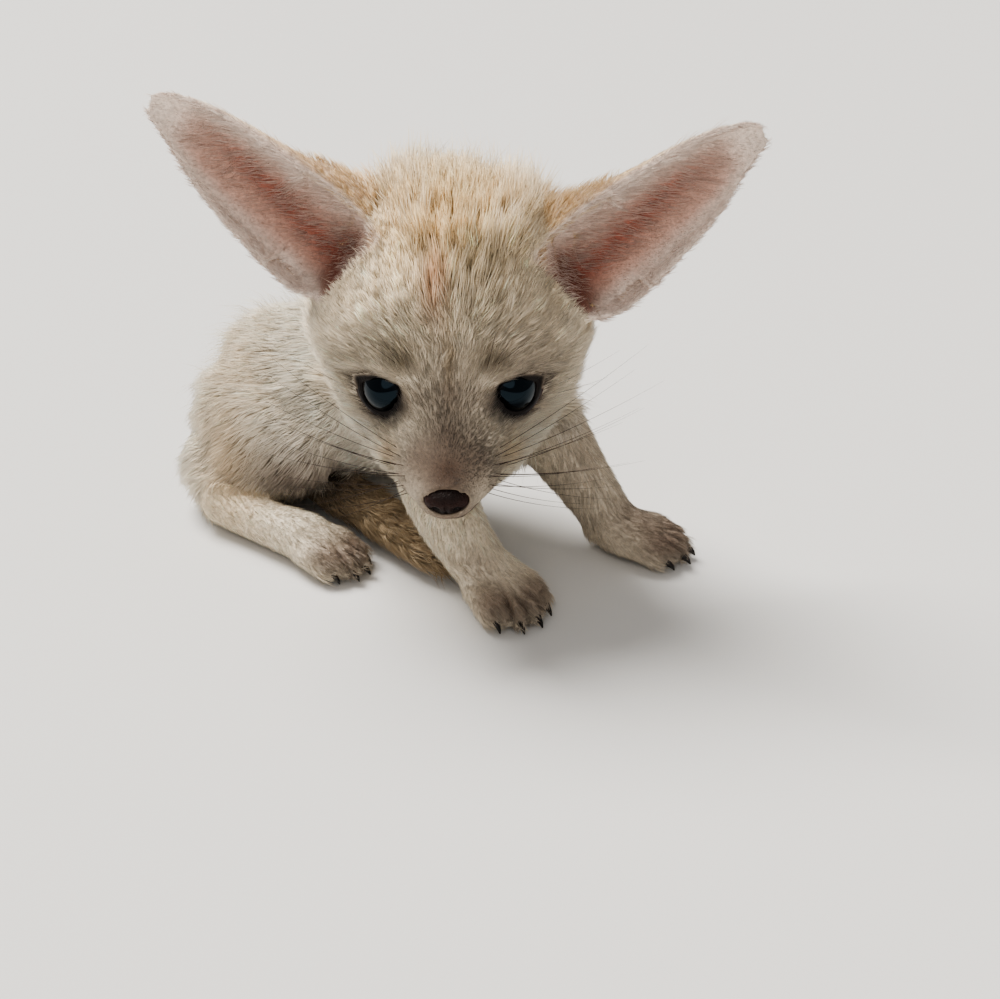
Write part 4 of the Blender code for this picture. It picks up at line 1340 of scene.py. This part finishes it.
noseLook = {
    # mm, and the leather's colours
    "swell": 0.22,
    "voxel": 0.2,
    "nostrils": [(2.3, -6.8, 0.95, 0.8), (3.5, -7.5, 0.9, 0.5)],  # middle, width and height
    "nostril": 1.1,
    "groove": 0.35,
    "colour": tone(46, 24, 19),
    "above": tone(32, 19, 15),
    # near black at the bottom middle: partly the leather's own dark, partly painted shade under
    # the nose
    "centre": tone(10, 6, 5),
    "inside": tone(5, 3, 3),
}


def makeNose(made):
    nose = copyOf("nose", "nose_leather")
    nose.data.materials.clear()
    applyModifier(nose, "DISPLACE", strength=noseLook["swell"] * mm, mid_level=0)
    applyModifier(nose, "REMESH", mode="VOXEL", voxel_size=noseLook["voxel"] * mm)
    applyModifier(nose, "SMOOTH", factor=0.5, iterations=6)
    nose.data.materials.append(made)
    head = inHead(verticesOf(nose.data))
    # the bottom middle, darkened partly as painted shade under the nose
    centre = np.exp(-((head[:, 0] / 3.2) ** 2) - ((head[:, 2] + 7.8) / 2.2) ** 2)
    upper = smoothStep(head[:, 2], -5.4, -3.4)
    hollow = np.zeros(len(head))
    for side in (1, -1):
        for x, z, width, height in noseLook["nostrils"]:
            gap = ((head[:, 0] - x * side) / width) ** 2 + ((head[:, 2] - z) / height) ** 2
            hollow = np.maximum(hollow, np.exp(-gap))
    groove = noseLook["groove"] * np.exp(-((head[:, 0] / 0.35) ** 2)) * (1 - upper)
    head[:, 1] -= noseLook["nostril"] * hollow + groove
    setPoints(nose.data, fromHead(head))
    colours = np.tile(noseLook["colour"], (len(head), 1))
    for key, amount in (("above", upper), ("centre", 0.85 * centre), ("inside", hollow)):
        colours = blend(colours, noseLook[key], amount)
    setColour(nose.data, "marking", colours)
    smooth(nose)
    finishPiece(nose, "nose", "nose")


def tube(path, radii, sides, start=0):
    # rings round a path; returns points and faces with closed ends
    path = np.asarray(path, float)
    way = unit(np.gradient(path, axis=0))
    side = unit(np.cross(way, (0.31, 0.17, 0.94)))
    up = np.cross(way, side)
    angles = np.arange(sides) * 2 * math.pi / sides
    rings = (path[:, None] + side[:, None] * (np.cos(angles) * radii[:, None])[:, :, None]
             + up[:, None] * (np.sin(angles) * radii[:, None])[:, :, None])
    points = np.vstack([rings.reshape(-1, 3), path[:1], path[-1:]])
    faces = []
    last = len(path) - 1
    for row in range(last):
        for k in range(sides):
            turn = (k + 1) % sides
            a, b = row * sides + k, row * sides + turn
            faces += [(a, b, b + sides), (a, b + sides, a + sides)]
    first, final = len(path) * sides, len(path) * sides + 1
    for k in range(sides):
        turn = (k + 1) % sides
        faces += [(first, turn, k), (final, last * sides + k, last * sides + turn)]
    return points, np.array(faces) + start


whiskerLook = {
    "roots": [(8.6, 20.0, -5.6), (9.0, 17.6, -5.0), (9.8, 15.2, -4.8), (10.8, 12.8, -4.6),
              (8.2, 20.6, -7.4), (8.8, 18.2, -7.0), (9.6, 15.8, -6.8), (10.6, 13.2, -6.8),
              (7.6, 20.4, -9.2), (8.4, 18.0, -9.0), (9.2, 15.6, -9.0), (10.2, 13.0, -9.2),
              (7.4, 17.6, -10.6), (8.6, 14.8, -10.8)],
    "length": (20, 40),
    "radius": 0.085,
    "thin": 0.75,  # share of it that the whiskers of the brow and the cheek have
    "rings": 12,
    "sunk": 0.4,
    "sag": 0.4,
    # root, way and length
    "brow": [((9.2, 3.4, 10.2), (0.5, -0.1, 0.85), 16), ((9.8, 2.8, 10.4), (0.8, -0.2, 0.6), 20),
             ((8.4, 3.6, 10.4), (0.2, 0.0, 1.0), 14),
             ((24.0, -4.0, -1.0), (1.0, -0.4, 0.25), 16),
             ((23.0, -3.0, -3.0), (1.0, -0.3, 0.0), 14)],
}


def makeWhiskers(tree, made):
    rng = np.random.default_rng(31)
    points = []
    faces = []

    def addWhisker(root, way, length, radius):
        near, normal = tree.find_nearest(Vector(fromHead(root)))[:2]
        way = unit(np.array(way, float))
        bend = unit(np.array((way[0] * 0.2, -0.9, -0.45)))
        reach = np.linspace(0, 1, whiskerLook["rings"])
        path = inHead(np.array([near - normal * (whiskerLook["sunk"] * mm)]))
        path = path + way * length * reach[:, None]
        path = path + bend * length * whiskerLook["sag"] * reach[:, None] ** 2
        radii = radius * (1 - 0.85 * reach) * mm
        rows, cut = tube(fromHead(path), radii, 5, sum(map(len, points)))
        points.append(rows)
        faces.append(cut)

    for side in (1, -1):
        for index, root in enumerate(whiskerLook["roots"]):
            row = index // 4
            share = (index % 4) / 3
            way = (side * 1.0, 0.35 - 0.75 * share, 0.34 - 0.24 * row + 0.1 * share)
            way = np.array(way) + rng.normal(0, 0.09, 3)
            low, high = whiskerLook["length"]
            length = low + (high - low) * (0.25 + 0.75 * share) * rng.uniform(0.8, 1.0)
            addWhisker(mirrored(root, side), way, length, whiskerLook["radius"])
        for root, way, length in whiskerLook["brow"]:
            addWhisker(mirrored(root, side), mirrored(way, side), length,
                       whiskerLook["radius"] * whiskerLook["thin"])
    whiskers = meshObject("whiskers", np.vstack(points), np.vstack(faces), made)
    count = len(whiskers.data.vertices)
    setColour(whiskers.data, "marking", np.tile(tones["umber"] * 0.5, (count, 1)))
    for key in ("along", "tip"):
        setValue(whiskers.data, key, np.zeros(count))
    finishPiece(whiskers, "claw")


def makeLips(tree, made):
    right, left = (along(mirrored(mouthLine, side), 6) for side in (1, -1))
    snapped = []
    for spot in [*right[::-1], *left[1:]]:
        near, normal = tree.find_nearest(Vector(fromHead(spot)))[:2]
        snapped.append(near - normal * (0.05 * mm))
    radii = (0.5 - 0.34 * np.linspace(-1, 1, len(snapped)) ** 4) * mm
    points, faces = tube(np.array(snapped), radii, 8)
    finishPiece(meshObject("lips", points, faces, made), "nose")


# Build

addCamera()
addStudio()
skinObject, names, fields, lie, edges, dark = makeSkin()
mesh = skinObject.data
mesh.uv_layers.new(name="OFBake")
inEdit(skinObject, bpy.ops.uv.smart_project, angle_limit=math.radians(skinLook["unwrap"]),
       island_margin=skinLook["margin"])
print("skin unwrapped")
points = verticesOf(mesh)
normals = verticesOf(mesh, "normal")
colours = blur(paint(points, normals, names, dark), edges, 1)
lie = unit(lie)
lie = blur(lie - normals * (lie * normals).sum(1)[:, None], edges, 24)
clear = np.ones(len(points))
for side in (1, -1):
    clear *= rimShare(inEye(points, side)) > skinLook["bare"]
clear = np.maximum(clear, names != "head")
darkTips = 0.3 * np.char.startswith(names, "tail")
triangles, loops, uv = surfaceOf(mesh)
skin = {"points": points, "normals": normals, "lie": lie, "length": fields[1],
        "width": fields[2], "lift": fields[3], "colour": colours, "tip": darkTips,
        "clear": clear, "names": names, "triangles": triangles, "loops": loops, "uv": uv}
# painted shade: the skin darker than the coat that grows on it
setColour(mesh, "marking", colours * skinLook["shade"])
mesh.materials.append(grainMaterial(*skinPaint, Specular_IOR_Level=0.3))
finishPiece(skinObject, "coat", *fleshNodes)
skinTree = BVHTree.FromPolygons([Vector(row) for row in points], triangles.tolist())
makeCoat(skin, hairMaterial("fur", 0.88, 1.1))
eyeGloss = grainMaterial(*eyePaint, Specular_IOR_Level=0.3, Specular_Tint=(0.5, 0.78, 1.0, 1))
lidSkin = grainMaterial(*lidPaint, Coat_Weight=0.08, Coat_Roughness=0.3)
for side, key in ((1, "right"), (-1, "left")):
    makeEye(side, "eyeball_" + key, eyeGloss)
    makeLids(side, "lids_" + key, skinTree, lidSkin)
makeNose(grainMaterial(*nosePaint, Coat_Weight=0.04, **leather))
makeLips(skinTree, grainMaterial(*lipPaint, **leather))
makeWhiskers(skinTree, hairMaterial("whisker", 1.0, 1.0))
horn = grainMaterial(*hornPaint, Coat_Weight=0.3, **leather)
for node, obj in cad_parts.items():
    if "claw" in node:
        for place in obj.material_slots:
            place.material = horn
print("pieces done")
